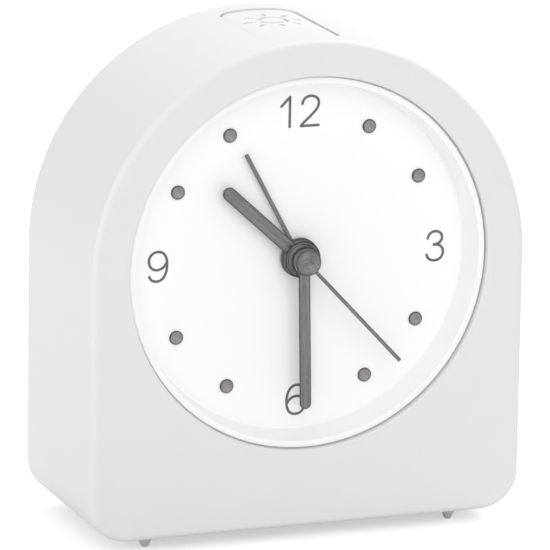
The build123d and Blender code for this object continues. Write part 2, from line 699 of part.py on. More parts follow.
# Case and its fixed parts
def front_case():
    shell = slab(arch_outline(0), 0, CASE_DEPTH)
    shell = fillet(shell.edges().group_by(Axis.Y)[0], FRONT_EDGE)
    shell = fillet(shell.edges().group_by(Axis.Y)[-1], REAR_EDGE)
    shell -= slab(arch_outline(CASE_WALL), FRONT_WALL, CASE_DEPTH + CUT_OVERRUN)
    for place in COVER_POST_PLACES:
        shell += drum(place, COVER_POST_RADIUS, FRONT_WALL, COVER_FRONT)
    for place in CHASSIS_POST_PLACES:
        shell += drum(place, CHASSIS_POST_RADIUS, FRONT_WALL, CHASSIS_FRONT)
    for place in COVER_POST_PLACES:
        shell -= drum(place, COVER_SCREW[0] + RUN_CLEARANCE,
                      COVER_BACK - COVER_SCREW[1] - PLAY, COVER_FRONT + CUT_OVERRUN)
    for place in CHASSIS_POST_PLACES:
        shell -= drum(place, CHASSIS_SCREW[0] + RUN_CLEARANCE,
                      CHASSIS_BACK - CHASSIS_SCREW[1] - PLAY, CHASSIS_FRONT + CUT_OVERRUN)
    shell -= turned(outline_of(
        (0, -CUT_OVERRUN),
        (WINDOW_RADIUS + WINDOW_EDGE + CUT_OVERRUN, -CUT_OVERRUN),
        (WINDOW_RADIUS, WINDOW_EDGE),
        (WINDOW_RADIUS, FRONT_WALL + CUT_OVERRUN),
        (0, FRONT_WALL + CUT_OVERRUN),
    ))
    shell -= tower(button_outline(BUTTON_GAP, BUTTON_GAP), 0, CASE_WIDTH)
    for x, depth in FOOT_PLACES:
        shell -= tower(Pos(x, depth) * Circle(FOOT_PEG_RADIUS + RUN_CLEARANCE),
                       -AXIS_RISE - CUT_OVERRUN, FOOT_PEG_LENGTH + RUN_CLEARANCE - AXIS_RISE)
    return shell


def feet():
    pegs = []
    for x, depth in FOOT_PLACES:
        base = (x, FRONT + depth, 0)
        profile = outline_of(
            (0, 0),
            (FOOT_TIP_RADIUS, 0),
            (FOOT_TIP_RADIUS + FOOT_TIP_EDGE, FOOT_TIP_EDGE),
            (FOOT_TOP_RADIUS, FOOT_HEIGHT),
            (FOOT_PEG_RADIUS, FOOT_HEIGHT),
            (FOOT_PEG_RADIUS, FOOT_HEIGHT + FOOT_PEG_LENGTH),
            (0, FOOT_HEIGHT + FOOT_PEG_LENGTH),
        )
        plane = Plane(origin=base, x_dir=(1, 0, 0), z_dir=(0, -1, 0))
        pegs.append(revolve(plane * profile, Axis(base, (0, 0, 1))))
    return Compound(children=pegs)


def lens_face(apex):
    """The curve of one lens face from the axis to the edge, a shallow arc."""
    ball = (LENS_RADIUS**2 + LENS_SAG**2) / (2 * LENS_SAG)
    middle = LENS_RADIUS / 2
    return ThreePointArc(
        (0, apex),
        (middle, apex + ball - math.sqrt(ball**2 - middle**2)),
        (LENS_RADIUS, apex + LENS_SAG),
    )


def lens():
    front = LENS_EDGE_DEPTH - LENS_SAG
    back = front + LENS_THICKNESS
    profile = make_face([
        lens_face(front),
        Line((LENS_RADIUS, front + LENS_SAG), (LENS_RADIUS, back + LENS_SAG)),
        lens_face(back),
        Line((0, back), (0, front)),
    ])
    return turned(profile) - turned(outline_of(
        (LENS_RADIUS - LENS_CHAMFER - CUT_OVERRUN, LENS_EDGE_DEPTH - CUT_OVERRUN),
        (LENS_RADIUS + CUT_OVERRUN, LENS_EDGE_DEPTH + LENS_CHAMFER + CUT_OVERRUN),
        (LENS_RADIUS + CUT_OVERRUN, LENS_EDGE_DEPTH - CUT_OVERRUN),
    ))


def dial_ring():
    return turned(outline_of(
        (COLLAR_INNER_RADIUS, LENS_SEAT),
        (LENS_RADIUS, LENS_SEAT),
        (LENS_RADIUS, FRONT_WALL),
        (RING_FLANGE_RADIUS, FRONT_WALL),
        (RING_FLANGE_RADIUS, FRONT_WALL + RING_FLANGE_THICKNESS),
        (RING_OUTER_RADIUS, FRONT_WALL + RING_FLANGE_THICKNESS),
        (RING_OUTER_RADIUS, DIAL_DEPTH),
        (RING_FOOT_RADIUS, DIAL_DEPTH),
    ))


def dial():
    disc = drum(O, RING_OUTER_RADIUS, DIAL_DEPTH, CHASSIS_FRONT)
    return disc - hole(O, BUSH_RADIUS + BUSH_PLAY, DIAL_DEPTH, CHASSIS_FRONT)


def stroke_outline(points):
    """One stroke of a number with round ends: a straight line, or curves that share their end points."""
    places = [(across * NUMBER_HEIGHT, up * NUMBER_HEIGHT) for across, up in points]
    ends = [Pos(*places[0]) * Circle(NUMBER_STROKE / 2), Pos(*places[-1]) * Circle(NUMBER_STROKE / 2)]
    if len(places) == 2:
        return trace(Line(*places), NUMBER_STROKE) + ends
    curves = [Bezier(*places[start:start + 4]) for start in range(0, len(places) - 1, 3)]
    return sum((trace(curve, NUMBER_STROKE) for curve in curves), Sketch()) + ends


def number(strokes, hour):
    """A number stood upright at its hour."""
    x, z = polar(O, NUMBER_RING, UPRIGHT - hour * HOUR_ANGLE)
    outline = sum((stroke_outline(points) for points in strokes), Sketch())
    return slab(Pos(x, z - NUMBER_HEIGHT / 2) * outline, DIAL_DEPTH - NUMBER_RISE, DIAL_DEPTH)


def dial_numbers():
    six = [[(-across, 1 - up) for across, up in points] for points in NINE_SHARES]
    rows = ((ONE_SHARES, 12), (TWO_SHARES, 12), (THREE_SHARES, 3), (six, 6), (NINE_SHARES, 9))
    return Compound(children=[number(strokes, hour) for strokes, hour in rows])


def dial_dots():
    dots = []
    for hour in DOT_HOURS:
        place = polar(O, NUMBER_RING, UPRIGHT - hour * HOUR_ANGLE)
        dot = drum(place, DOT_RADIUS, DIAL_DEPTH - DOT_RISE, DIAL_DEPTH)
        dots.append(fillet(dot.edges().group_by(Axis.Y)[0], DOT_EDGE))
    return Compound(children=dots)


def chassis():
    plate = slab(arch_outline(CASE_WALL + CHASSIS_PLAY), CHASSIS_FRONT, CHASSIS_BACK)
    plate -= slab(box_outline(-NOTCH_WIDTH / 2, NOTCH_RISE, NOTCH_WIDTH / 2, CASE_WIDTH),
                  CHASSIS_FRONT - CUT_OVERRUN, CHASSIS_BACK + CUT_OVERRUN)
    for place in COVER_POST_PLACES:
        plate -= hole(place, COVER_POST_RADIUS + POST_NOTCH_PLAY, CHASSIS_FRONT, CHASSIS_BACK)
    for place in CHASSIS_POST_PLACES:
        plate -= hole(place, CHASSIS_SCREW[0] + RUN_CLEARANCE, CHASSIS_FRONT, CHASSIS_BACK)
    for place in EAR_PLACES:
        plate -= hole(place, PLATE_SCREW[0] + RUN_CLEARANCE, CHASSIS_FRONT, CHASSIS_BACK)
    for x in (LAMP_LEAD_X, LAMP_LEAD_X + LEAD_PITCH):
        plate -= hole((x, LAMP_LEAD_Z), LEAD_RADIUS + LEAD_HOLE_PLAY, CHASSIS_FRONT, CHASSIS_BACK)
    plate -= hole(O, BUSH_RADIUS + BUSH_PLAY, CHASSIS_FRONT, CHASSIS_BACK)
    shelf_end = CASE_DEPTH - SHELF_REAR_SETBACK
    plate += tower(box_outline(-SHELF_WIDTH / 2, CHASSIS_BACK, SHELF_WIDTH / 2, shelf_end),
                   SHELF_RISE, SHELF_TOP)
    gusset = outline_of(
        (CHASSIS_BACK, SHELF_RISE),
        (CHASSIS_BACK, SHELF_RISE - GUSSET_DROP),
        (CHASSIS_BACK + GUSSET_REACH, SHELF_RISE),
    )
    for x in (-GUSSET_SPACING / 2, GUSSET_SPACING / 2):
        plate += beam(gusset, x - GUSSET_THICKNESS / 2, x + GUSSET_THICKNESS / 2)
    for depth in GUIDE_DEPTHS:
        plate -= tower(Pos(0, depth) * Circle(GUIDE_RADIUS + RUN_CLEARANCE),
                       SHELF_RISE - CUT_OVERRUN, SHELF_TOP + CUT_OVERRUN)
    return plate


# Button group
def button_outline(side, end):
    """The button seen from above, widened by one margin at its sides and another at its ends."""
    return Pos(0, BUTTON_DEPTH) * RectangleRounded(
        BUTTON_WIDTH + 2 * side, BUTTON_LENGTH + 2 * end, BUTTON_CORNER + end)


def sun_mark():
    """A ring with short rays round it, seen from above."""
    mark = Circle(MARK_RING_RADIUS + MARK_LINE / 2) - Circle(MARK_RING_RADIUS - MARK_LINE / 2)
    ray = Pos((MARK_RAY_START + MARK_RAY_END) / 2, 0) * SlotOverall(
        MARK_RAY_END - MARK_RAY_START, MARK_LINE)
    turn = 2 * math.degrees(math.pi) / MARK_RAY_COUNT
    for index in range(MARK_RAY_COUNT):
        mark += Rot(0, 0, index * turn) * ray
    return Pos(0, BUTTON_DEPTH + MARK_SHIFT) * mark


def snooze_button():
    crown = drum(ARCH_PLACE, BUTTON_TOP, 0, CASE_DEPTH)
    cap = tower(button_outline(0, 0), LIP_UNDER - BUTTON_LIP - ARCH_DROP, CASE_WIDTH) & crown
    cap = fillet(cap.edges().group_by(Axis.Z)[-1], BUTTON_EDGE)
    lip = tower(button_outline(BUTTON_LIP, 0), 0, CASE_WIDTH) & drum(ARCH_PLACE, LIP_TOP, 0, CASE_DEPTH)
    button = (cap + lip) - drum(ARCH_PLACE, LIP_UNDER, -CUT_OVERRUN, CASE_DEPTH + CUT_OVERRUN)
    inside = LIP_TOP - ARCH_DROP
    button += tower(Pos(0, BUTTON_DEPTH) * Circle(STEM_RADIUS), STEM_END, inside)
    for depth in GUIDE_DEPTHS:
        button += tower(Pos(0, depth) * Circle(GUIDE_RADIUS), SHELF_RISE - GUIDE_OVERREACH, inside)
    groove = tower(sun_mark(), inside, CASE_WIDTH) - drum(ARCH_PLACE, BUTTON_TOP - MARK_DEPTH, 0, CASE_DEPTH)
    return button - groove


def button_springs():
    low = SHELF_TOP + SPRING_SEAT_GAP + SPRING_WIRE_RADIUS
    high = LIP_UNDER - ARCH_DROP - SPRING_SEAT_GAP - SPRING_WIRE_RADIUS
    coils = []
    for depth in GUIDE_DEPTHS:
        path = Helix(pitch=(high - low) / SPRING_TURNS, height=high - low, radius=SPRING_RADIUS)
        path = Pos(0, FRONT + depth, AXIS_HEIGHT + low) * path
        section = Plane(path @ 0, z_dir=path % 0) * Circle(SPRING_WIRE_RADIUS)
        coils.append(sweep(section, path=path))
    return Compound(children=coils)


def button_board():
    rear = BUTTON_DEPTH + BUTTON_BOARD_LENGTH / 2
    front = BUTTON_DEPTH - BUTTON_BOARD_LENGTH / 2
    return tower(box_outline(-BUTTON_BOARD_WIDTH / 2, front, BUTTON_BOARD_WIDTH / 2, rear),
                 SHELF_TOP, SWITCH_BASE)


def push_switch():
    body = tower(Pos(0, BUTTON_DEPTH) * Rectangle(SWITCH_SIDE, SWITCH_SIDE), SWITCH_BASE, SWITCH_TOP)
    return body - tower(Pos(0, BUTTON_DEPTH) * Circle(PLUNGER_RADIUS + RUN_CLEARANCE),
                        SWITCH_TOP - SWITCH_BORE_DEPTH, SWITCH_TOP + CUT_OVERRUN)


def switch_plunger():
    return tower(Pos(0, BUTTON_DEPTH) * Circle(PLUNGER_RADIUS), SWITCH_TOP - PLUNGER_SUNK, STEM_END)


# Night light
def light_strip():
    return tower(box_outline(-STRIP_WIDTH / 2, STRIP_FRONT, STRIP_WIDTH / 2, CHASSIS_FRONT),
                 LAMP_BASE, LAMP_BASE + STRIP_THICKNESS)


def night_lamps():
    middle = (STRIP_FRONT + CHASSIS_FRONT) / 2
    lamps = []
    for index in range(LAMP_COUNT):
        x = (index - (LAMP_COUNT - 1) / 2) * LAMP_SPACING
        lamps.append(tower(Pos(x, middle) * Rectangle(LAMP_WIDTH, LAMP_LENGTH),
                           LAMP_BASE - LAMP_HEIGHT, LAMP_BASE))
    return Compound(children=lamps)


# Movement housing
def movement_outline(inset):
    """The outline of the movement, moved inwards."""
    return Pos((MOVEMENT_RIGHT - MOVEMENT_LEFT) / 2, (MOVEMENT_RISE - MOVEMENT_DROP) / 2) * RectangleRounded(
        MOVEMENT_LEFT + MOVEMENT_RIGHT - 2 * inset,
        MOVEMENT_DROP + MOVEMENT_RISE - 2 * inset,
        MOVEMENT_CORNER - inset)


def movement_plate():
    plate = slab(movement_outline(0), CHASSIS_BACK, PLATE_BACK)
    for x, z in EAR_PLACES:
        inner = math.copysign(abs(x) - EAR_REACH - EAR_RADIUS, x)
        ear = box_outline(min(x, inner), z - EAR_RADIUS, max(x, inner), z + EAR_RADIUS)
        plate += slab(ear, CHASSIS_BACK, PLATE_BACK) + drum((x, z), EAR_RADIUS, CHASSIS_BACK, PLATE_BACK)
        plate -= hole((x, z), PLATE_SCREW[0] + RUN_CLEARANCE, CHASSIS_BACK, PLATE_BACK)
    plate += drum(O, BUSH_RADIUS, DIAL_DEPTH - BUSH_PROUD, PLATE_BACK)
    plate -= hole(O, ALARM_PIPE_RADIUS + RUN_CLEARANCE, DIAL_DEPTH - BUSH_PROUD, PLATE_BACK)
    for place in PILLAR_PLACES:
        plate += drum(place, PILLAR_RADIUS, PLATE_BACK, BRIDGE_FRONT)
    plate += drum(MINUTE_WHEEL_PLACE, STUD_COLLAR_RADIUS, PLATE_BACK, HOUR_LAYER - COLLAR_GAP)
    plate += drum(MINUTE_WHEEL_PLACE, STUD_RADIUS, PLATE_BACK,
                  CANNON_LAYER + WHEEL_THICKNESS + STUD_PROUD)
    plate += drum((CONTACT_POST_X, 0), PILLAR_RADIUS, PLATE_BACK, contact_front())
    for place, radius in front_pivots():
        plate -= drum(place, radius + RUN_CLEARANCE, PLATE_BACK - PIVOT_LENGTH - RUN_CLEARANCE,
                      PLATE_BACK + CUT_OVERRUN)
    for place in COLUMN_PLACES:
        plate -= hole(place, MOVEMENT_SCREW[0] + RUN_CLEARANCE, CHASSIS_BACK, PLATE_BACK)
    return plate


def front_pivots():
    """The arbors that turn in the front plate."""
    return (
        (THIRD_PLACE, THIRD_ARBOR_RADIUS),
        (TIME_SET_PLACE, SET_ARBOR_RADIUS),
        (ALARM_SET_PLACE, SET_ARBOR_RADIUS),
    )


def through_pivots():
    """The arbors that pass the bridge and turn in the rear wall."""
    return (
        (O, SECOND_ARBOR_RADIUS),
        (THIRD_PLACE, THIRD_ARBOR_RADIUS),
        (INTERMEDIATE_PLACE, INTERMEDIATE_ARBOR_RADIUS),
        (ROTOR_PLACE, ROTOR_ARBOR_RADIUS),
        (TIME_SET_PLACE, SET_ARBOR_RADIUS),
        (ALARM_SET_PLACE, SET_ARBOR_RADIUS),
    )


def movement_bridge():
    plate = slab(Pos(*BRIDGE_PLACE) * RectangleRounded(BRIDGE_WIDTH, BRIDGE_HEIGHT, BRIDGE_CORNER),
                 BRIDGE_FRONT, BRIDGE_BACK)
    for place, radius in through_pivots():
        plate -= hole(place, radius + RUN_CLEARANCE, BRIDGE_FRONT, BRIDGE_BACK)
    return plate


def movement_case():
    tray = slab(movement_outline(0), PLATE_BACK, MOVEMENT_BACK)
    tray -= slab(movement_outline(MOVEMENT_WALL), PLATE_BACK - CUT_OVERRUN, REAR_WALL_FRONT)
    for place in COLUMN_PLACES:
        tray += drum(place, COLUMN_RADIUS, PLATE_BACK, MOVEMENT_BACK)
    for place in circuit_corners():
        tray += drum(place, STANDOFF_RADIUS, REAR_WALL_FRONT - CIRCUIT_STANDOFF, REAR_WALL_FRONT)
    for place in COLUMN_PLACES:
        tray -= hole(place, MOVEMENT_SCREW[0] + RUN_CLEARANCE, PLATE_BACK, MOVEMENT_BACK)
    for place, radius in through_pivots():
        tray -= hole(place, radius + RUN_CLEARANCE, REAR_WALL_FRONT, MOVEMENT_BACK)
    reach = LEAD_RADIUS + LEAD_HOLE_PLAY
    last = LEAD_FIRST_Z + (LEAD_COUNT - 1) * LEAD_PITCH
    slot = box_outline(LEAD_DEPTH - reach, LEAD_FIRST_Z - reach, LEAD_DEPTH + reach, last + reach)
    return tray - beam(slot, MOVEMENT_RIGHT - MOVEMENT_WALL - CUT_OVERRUN, MOVEMENT_RIGHT + CUT_OVERRUN)


# Circuit
def circuit_corners():
    """The places of the four standoffs under the circuit board."""
    across = CIRCUIT_WIDTH / 2 - STANDOFF_INSET
    along = CIRCUIT_HEIGHT / 2 - STANDOFF_INSET
    x, z = CIRCUIT_PLACE
    return [(x + i * across, z + j * along) for i in (-1, 1) for j in (-1, 1)]


def circuit_board():
    outline = Pos(*CIRCUIT_PLACE) * Rectangle(CIRCUIT_WIDTH, CIRCUIT_HEIGHT)
    return slab(outline, CIRCUIT_FACE, CIRCUIT_BACK)


def control_chip():
    outline = Pos(CIRCUIT_PLACE[0], CIRCUIT_PLACE[1] - CHIP_DROP) * Rectangle(CHIP_SIDE, CHIP_SIDE)
    return slab(outline, CIRCUIT_FACE - CHIP_HEIGHT, CIRCUIT_FACE)


def quartz_crystal():
    low = CIRCUIT_PLACE[1] + CRYSTAL_RISE - CRYSTAL_LENGTH / 2
    outline = Pos(CIRCUIT_PLACE[0], CIRCUIT_FACE - CRYSTAL_RADIUS) * Circle(CRYSTAL_RADIUS)
    return tower(outline, low, low + CRYSTAL_LENGTH)


def contact_front():
    """The depth of the alarm contact's front face, midway between two wheels."""
    return HOUR_LAYER - WHEEL_AIR / 2 - CONTACT_THICKNESS / 2


def alarm_contact():
    outline = box_outline(CONTACT_START, -CONTACT_WIDTH / 2, CONTACT_END, CONTACT_WIDTH / 2)
    return slab(outline, contact_front(), contact_front() + CONTACT_THICKNESS)


# Stepping motor
def stator_leg_x():
    """The middle of the stator's leg that carries the coil."""
    return ROTOR_PLACE[0] - STATOR_LEFT + STATOR_LEG / 2


def stator():
    x, z = ROTOR_PLACE
    near, far = BRIDGE_BACK, BRIDGE_BACK + STATOR_THICKNESS
    frame = slab(box_outline(x - STATOR_LEFT, z - STATOR_HALF_HEIGHT, x + STATOR_RIGHT,
                             z + STATOR_HALF_HEIGHT), near, far)
    inner = x - STATOR_LEFT + STATOR_LEG
    frame -= slab(box_outline(inner, z - STATOR_WINDOW_HALF, inner + STATOR_WINDOW_WIDTH,
                              z + STATOR_WINDOW_HALF), near - CUT_OVERRUN, far + CUT_OVERRUN)
    return frame - hole(ROTOR_PLACE, MAGNET_RADIUS + MAGNET_GAP, near, far)


def coil_outlines():
    """The outlines of the leg's tunnel, the bobbin's tube, its cheek and the winding, seen from above."""
    place = Pos(stator_leg_x(), BRIDGE_BACK + STATOR_THICKNESS / 2)
    tunnel = Rectangle(STATOR_LEG + 2 * BOBBIN_PLAY, STATOR_THICKNESS + 2 * BOBBIN_PLAY)
    wall = 2 * (BOBBIN_PLAY + BOBBIN_WALL)
    tube = Rectangle(STATOR_LEG + wall, STATOR_THICKNESS + wall)
    cheek = Rectangle(BOBBIN_CHEEK_SIDE, BOBBIN_CHEEK_SIDE)
    winding = RectangleRounded(WINDING_SIDE, WINDING_SIDE, WINDING_CORNER)
    return [place * outline for outline in (tunnel, tube, cheek, winding)]


def coil_bobbin():
    tunnel, tube, cheek, winding = coil_outlines()
    low = ROTOR_PLACE[1] - STATOR_WINDOW_HALF + BOBBIN_PLAY
    high = ROTOR_PLACE[1] + STATOR_WINDOW_HALF - BOBBIN_PLAY
    bobbin = tower(tube, low, high)
    bobbin += tower(cheek, low, low + BOBBIN_CHEEK)
    bobbin += tower(cheek, high - BOBBIN_CHEEK, high)
    return bobbin - tower(tunnel, low - CUT_OVERRUN, high + CUT_OVERRUN)


def coil_winding():
    tunnel, tube, cheek, winding = coil_outlines()
    reach = STATOR_WINDOW_HALF - BOBBIN_PLAY - BOBBIN_CHEEK
    return tower(winding - tube, ROTOR_PLACE[1] - reach, ROTOR_PLACE[1] + reach)


def rotor():
    magnet_front = BRIDGE_BACK + MAGNET_SEAT_GAP
    part = drum(ROTOR_PLACE, ROTOR_ARBOR_RADIUS, BRIDGE_BACK - PIVOT_LENGTH, REAR_WALL_FRONT + PIVOT_LENGTH)
    part += drum(ROTOR_PLACE, MAGNET_RADIUS, magnet_front, magnet_front + MAGNET_LENGTH)
    phase = meshed_phase(INTERMEDIATE_TEETH, ROTOR_ANGLE, ROTOR_TEETH, ROTOR_ANGLE)
    return part + pinion(ROTOR_PLACE, ROTOR_TEETH, GOING_MODULE, phase, INTERMEDIATE_LAYER)


# Going train
def intermediate_wheel():
    part = drum(INTERMEDIATE_PLACE, INTERMEDIATE_ARBOR_RADIUS, BRIDGE_BACK - PIVOT_LENGTH,
                REAR_WALL_FRONT + PIVOT_LENGTH)
    part += wheel(INTERMEDIATE_PLACE, INTERMEDIATE_TEETH, GOING_MODULE, ROTOR_ANGLE, INTERMEDIATE_LAYER)
    phase = meshed_phase(SECOND_TEETH, INTERMEDIATE_ANGLE, INTERMEDIATE_PINION_TEETH, INTERMEDIATE_ANGLE)
    return part + pinion(INTERMEDIATE_PLACE, INTERMEDIATE_PINION_TEETH, GOING_MODULE, phase, SECOND_LAYER)


def second_wheel():
    part = drum(O, SECOND_ARBOR_RADIUS, SECOND_CAP_FRONT + SECOND_CAP_SKIN, REAR_WALL_FRONT + PIVOT_LENGTH)
    part += wheel(O, SECOND_TEETH, GOING_MODULE, INTERMEDIATE_ANGLE, SECOND_LAYER)
    return part + pinion(O, SECOND_PINION_TEETH, GOING_MODULE, THIRD_ANGLE, THIRD_LAYER)


def third_wheel():
    part = drum(THIRD_PLACE, THIRD_ARBOR_RADIUS, PLATE_BACK - PIVOT_LENGTH, REAR_WALL_FRONT + PIVOT_LENGTH)
    phase = meshed_phase(SECOND_PINION_TEETH, THIRD_ANGLE, THIRD_TEETH, THIRD_ANGLE)
    part += wheel(THIRD_PLACE, THIRD_TEETH, GOING_MODULE, phase, THIRD_LAYER)
    phase = meshed_phase(CENTRE_TEETH, THIRD_ANGLE, THIRD_PINION_TEETH, THIRD_ANGLE)
    return part + pinion(THIRD_PLACE, THIRD_PINION_TEETH, CENTRE_MODULE, phase, CENTRE_LAYER)


def centre_wheel():
    part = wheel(O, CENTRE_TEETH, CENTRE_MODULE, THIRD_ANGLE, CENTRE_LAYER)
    return part - hole(O, MINUTE_PIPE_RADIUS + RUN_CLEARANCE, CENTRE_LAYER, CENTRE_LAYER + WHEEL_THICKNESS)


# Motion work and setting
def minute_pipe():
    back = CENTRE_LAYER + WHEEL_THICKNESS + WHEEL_AIR / 2
    pipe = drum(O, MINUTE_PIPE_RADIUS, MINUTE_HUB_FRONT, back)
    pipe += pinion(O, CANNON_TEETH, MOTION_MODULE, MINUTE_WHEEL_ANGLE, CANNON_LAYER)
    return pipe - hole(O, MINUTE_PIPE_BORE, MINUTE_HUB_FRONT, back)


def minute_wheel():
    phase = meshed_phase(CANNON_TEETH, MINUTE_WHEEL_ANGLE, MINUTE_TEETH, MINUTE_WHEEL_ANGLE)
    part = wheel(MINUTE_WHEEL_PLACE, MINUTE_TEETH, MOTION_MODULE, phase, CANNON_LAYER)
    part += drum(MINUTE_WHEEL_PLACE, MINUTE_HUB_RADIUS, HOUR_LAYER, CANNON_LAYER)
    phase = meshed_phase(HOUR_TEETH, MINUTE_WHEEL_ANGLE, MINUTE_PINION_TEETH, MINUTE_WHEEL_ANGLE)
    part += pinion(MINUTE_WHEEL_PLACE, MINUTE_PINION_TEETH, HOUR_MODULE, phase, HOUR_LAYER)
    return part - hole(MINUTE_WHEEL_PLACE, STUD_RADIUS + RUN_CLEARANCE, HOUR_LAYER,
                       CANNON_LAYER + WHEEL_THICKNESS)


def hour_wheel():
    back = HOUR_LAYER + WHEEL_THICKNESS
    part = wheel(O, HOUR_TEETH, HOUR_MODULE, MINUTE_WHEEL_ANGLE, HOUR_LAYER)
    part += drum(O, HOUR_PIPE_RADIUS, HOUR_HUB_FRONT, back)
    return part - hole(O, HOUR_PIPE_BORE, HOUR_HUB_FRONT, back)


def alarm_wheel():
    back = ALARM_LAYER + WHEEL_THICKNESS
    part = wheel(O, ALARM_TEETH, ALARM_MODULE, ALARM_SET_ANGLE, ALARM_LAYER)
    part += drum(O, ALARM_PIPE_RADIUS, ALARM_HUB_FRONT, back)
    return part - hole(O, ALARM_PIPE_BORE, ALARM_HUB_FRONT, back)


def knob_front():
    """The depth of a knob's front face, just behind the rear cover."""
    return COVER_BACK + KNOB_AIR


def arbor_end():
    """The depth of the rear end of a setting arbor, inside its knob."""
    return knob_front() + KNOB_THICKNESS / 2


def time_set_arbor():
    phase = meshed_phase(CANNON_TEETH, MINUTE_WHEEL_ANGLE, MINUTE_TEETH, MINUTE_WHEEL_ANGLE)
    phase = meshed_phase(MINUTE_TEETH, phase, TIME_SET_TEETH, TIME_SET_ANGLE)
    part = drum(TIME_SET_PLACE, SET_ARBOR_RADIUS, PLATE_BACK - PIVOT_LENGTH, arbor_end())
    return part + pinion(TIME_SET_PLACE, TIME_SET_TEETH, MOTION_MODULE, phase, CANNON_LAYER)


def alarm_set_arbor():
    phase = meshed_phase(ALARM_TEETH, ALARM_SET_ANGLE, ALARM_SET_TEETH, ALARM_SET_ANGLE)
    part = drum(ALARM_SET_PLACE, SET_ARBOR_RADIUS, PLATE_BACK - PIVOT_LENGTH, arbor_end())
    return part + pinion(ALARM_SET_PLACE, ALARM_SET_TEETH, ALARM_MODULE, phase, ALARM_LAYER)


def knob(place):
    """A fluted knob with a dished face, pushed on a setting arbor."""
    near, far = knob_front(), knob_front() + KNOB_THICKNESS
    part = turned(outline_of(
        (0, near),
        (KNOB_RADIUS, near),
        (KNOB_RADIUS, far - KNOB_EDGE),
        (KNOB_RADIUS - KNOB_EDGE, far),
        (KNOB_DISH_RADIUS + KNOB_DISH_DEPTH, far),
        (KNOB_DISH_RADIUS, far - KNOB_DISH_DEPTH),
        (KNOB_BOSS_RADIUS, far - KNOB_DISH_DEPTH),
        (KNOB_BOSS_RADIUS, far),
        (0, far),
    ), place)
    turn = 2 * math.degrees(math.pi) / KNOB_FLUTES
    for index in range(KNOB_FLUTES):
        part -= hole(polar(place, KNOB_RADIUS, index * turn), KNOB_FLUTE_RADIUS, near, far)
    return part - drum(place, SET_ARBOR_RADIUS + PRESS_CLEARANCE, near - CUT_OVERRUN, arbor_end())


# Hands
def grooved_hub(radius, near, far):
    """A turned hub with shallow grooves round its side."""
    points = [(0, near), (radius, near)]
    width = (far - near) * HUB_GROOVE_SHARE
    for share in HUB_GROOVE_SHARES:
        middle = near + (far - near) * share
        points += [
            (radius, middle - width),
            (radius - HUB_GROOVE_DEPTH, middle),
            (radius, middle + width),
        ]
    return turned(outline_of(*points, (radius, far), (0, far)))


def round_blade(length, width):
    """A straight blade with a round tip, pointing at twelve."""
    end = length - width / 2
    return Pos(0, end / 2) * Rectangle(width, end) + Pos(0, end) * Circle(width / 2)


def needle_blade(length, root, tip):
    """A slim tapered blade with a square tip, pointing at twelve."""
    return outline_of((-root / 2, 0), (root / 2, 0), (tip / 2, length), (-tip / 2, length))


def hand(blade, angle, hub_radius, bore, near, far):
    """A blade on a turned hub, at its clock angle, bored for its pipe."""
    middle = near + (far - near) * BLADE_SEAT_SHARE
    part = grooved_hub(hub_radius, near, far)
    part += slab(Rot(0, 0, -angle) * blade, middle - HAND_THICKNESS / 2, middle + HAND_THICKNESS / 2)
    return part - hole(O, bore + PRESS_CLEARANCE, near, far)


def alarm_hand():
    blade = needle_blade(ALARM_HAND_LENGTH, ALARM_HAND_ROOT, ALARM_HAND_TIP)
    return hand(blade, ALARM_HAND_ANGLE, ALARM_HUB_RADIUS, ALARM_PIPE_RADIUS, ALARM_HUB_FRONT, ALARM_HUB_BACK)


def hour_hand():
    blade = round_blade(HOUR_HAND_LENGTH, HOUR_HAND_WIDTH)
    return hand(blade, HOUR_HAND_ANGLE, HOUR_HUB_RADIUS, HOUR_PIPE_RADIUS, HOUR_HUB_FRONT, HOUR_HUB_BACK)


def minute_hand():
    blade = round_blade(MINUTE_HAND_LENGTH, MINUTE_HAND_WIDTH)
    return hand(blade, MINUTE_HAND_ANGLE, MINUTE_HUB_RADIUS_FRONT, MINUTE_PIPE_RADIUS, MINUTE_HUB_FRONT,
                MINUTE_HUB_BACK)


def second_hand():
    blade = needle_blade(SECOND_HAND_LENGTH, SECOND_HAND_ROOT, SECOND_HAND_TIP)
    middle = SECOND_CAP_BACK - HAND_THICKNESS
    cap = turned(outline_of(
        (0, SECOND_CAP_FRONT),
        (SECOND_CAP_RADIUS - SECOND_CAP_EDGE, SECOND_CAP_FRONT),
        (SECOND_CAP_RADIUS, SECOND_CAP_FRONT + SECOND_CAP_EDGE),
        (SECOND_CAP_RADIUS, SECOND_CAP_BACK),
        (0, SECOND_CAP_BACK),
    ))
    cap += slab(Rot(0, 0, -SECOND_HAND_ANGLE) * blade, middle - HAND_THICKNESS / 2,
                middle + HAND_THICKNESS / 2)
    return cap - drum(O, SECOND_ARBOR_RADIUS + PRESS_CLEARANCE, SECOND_CAP_FRONT + SECOND_CAP_SKIN,
                      SECOND_CAP_BACK + CUT_OVERRUN)


# Rear cover, battery and switches
def tray_outline(margin):
    """The battery opening in x and z, widened by a margin all round."""
    return box_outline(-TRAY_LENGTH / 2 - margin, TRAY_LOW - margin, TRAY_LENGTH / 2 + margin,
                       TRAY_HIGH + margin)


def sound_holes():
    """Rings of places in front of the sounder."""
    places = []
    for ring, count in enumerate(SOUND_RING_COUNTS):
        turn = 2 * math.degrees(math.pi) / count
        places += [polar(SOUNDER_PLACE, ring * SOUND_RING_PITCH, index * turn) for index in range(count)]
    return places


def slide_outline(width, height, travel):
    """A rectangle about the slider at rest, lengthened by its travel."""
    x, z = SLIDE_PLACE
    return box_outline(x - width / 2, z - height / 2, x + width / 2 + travel, z + height / 2)


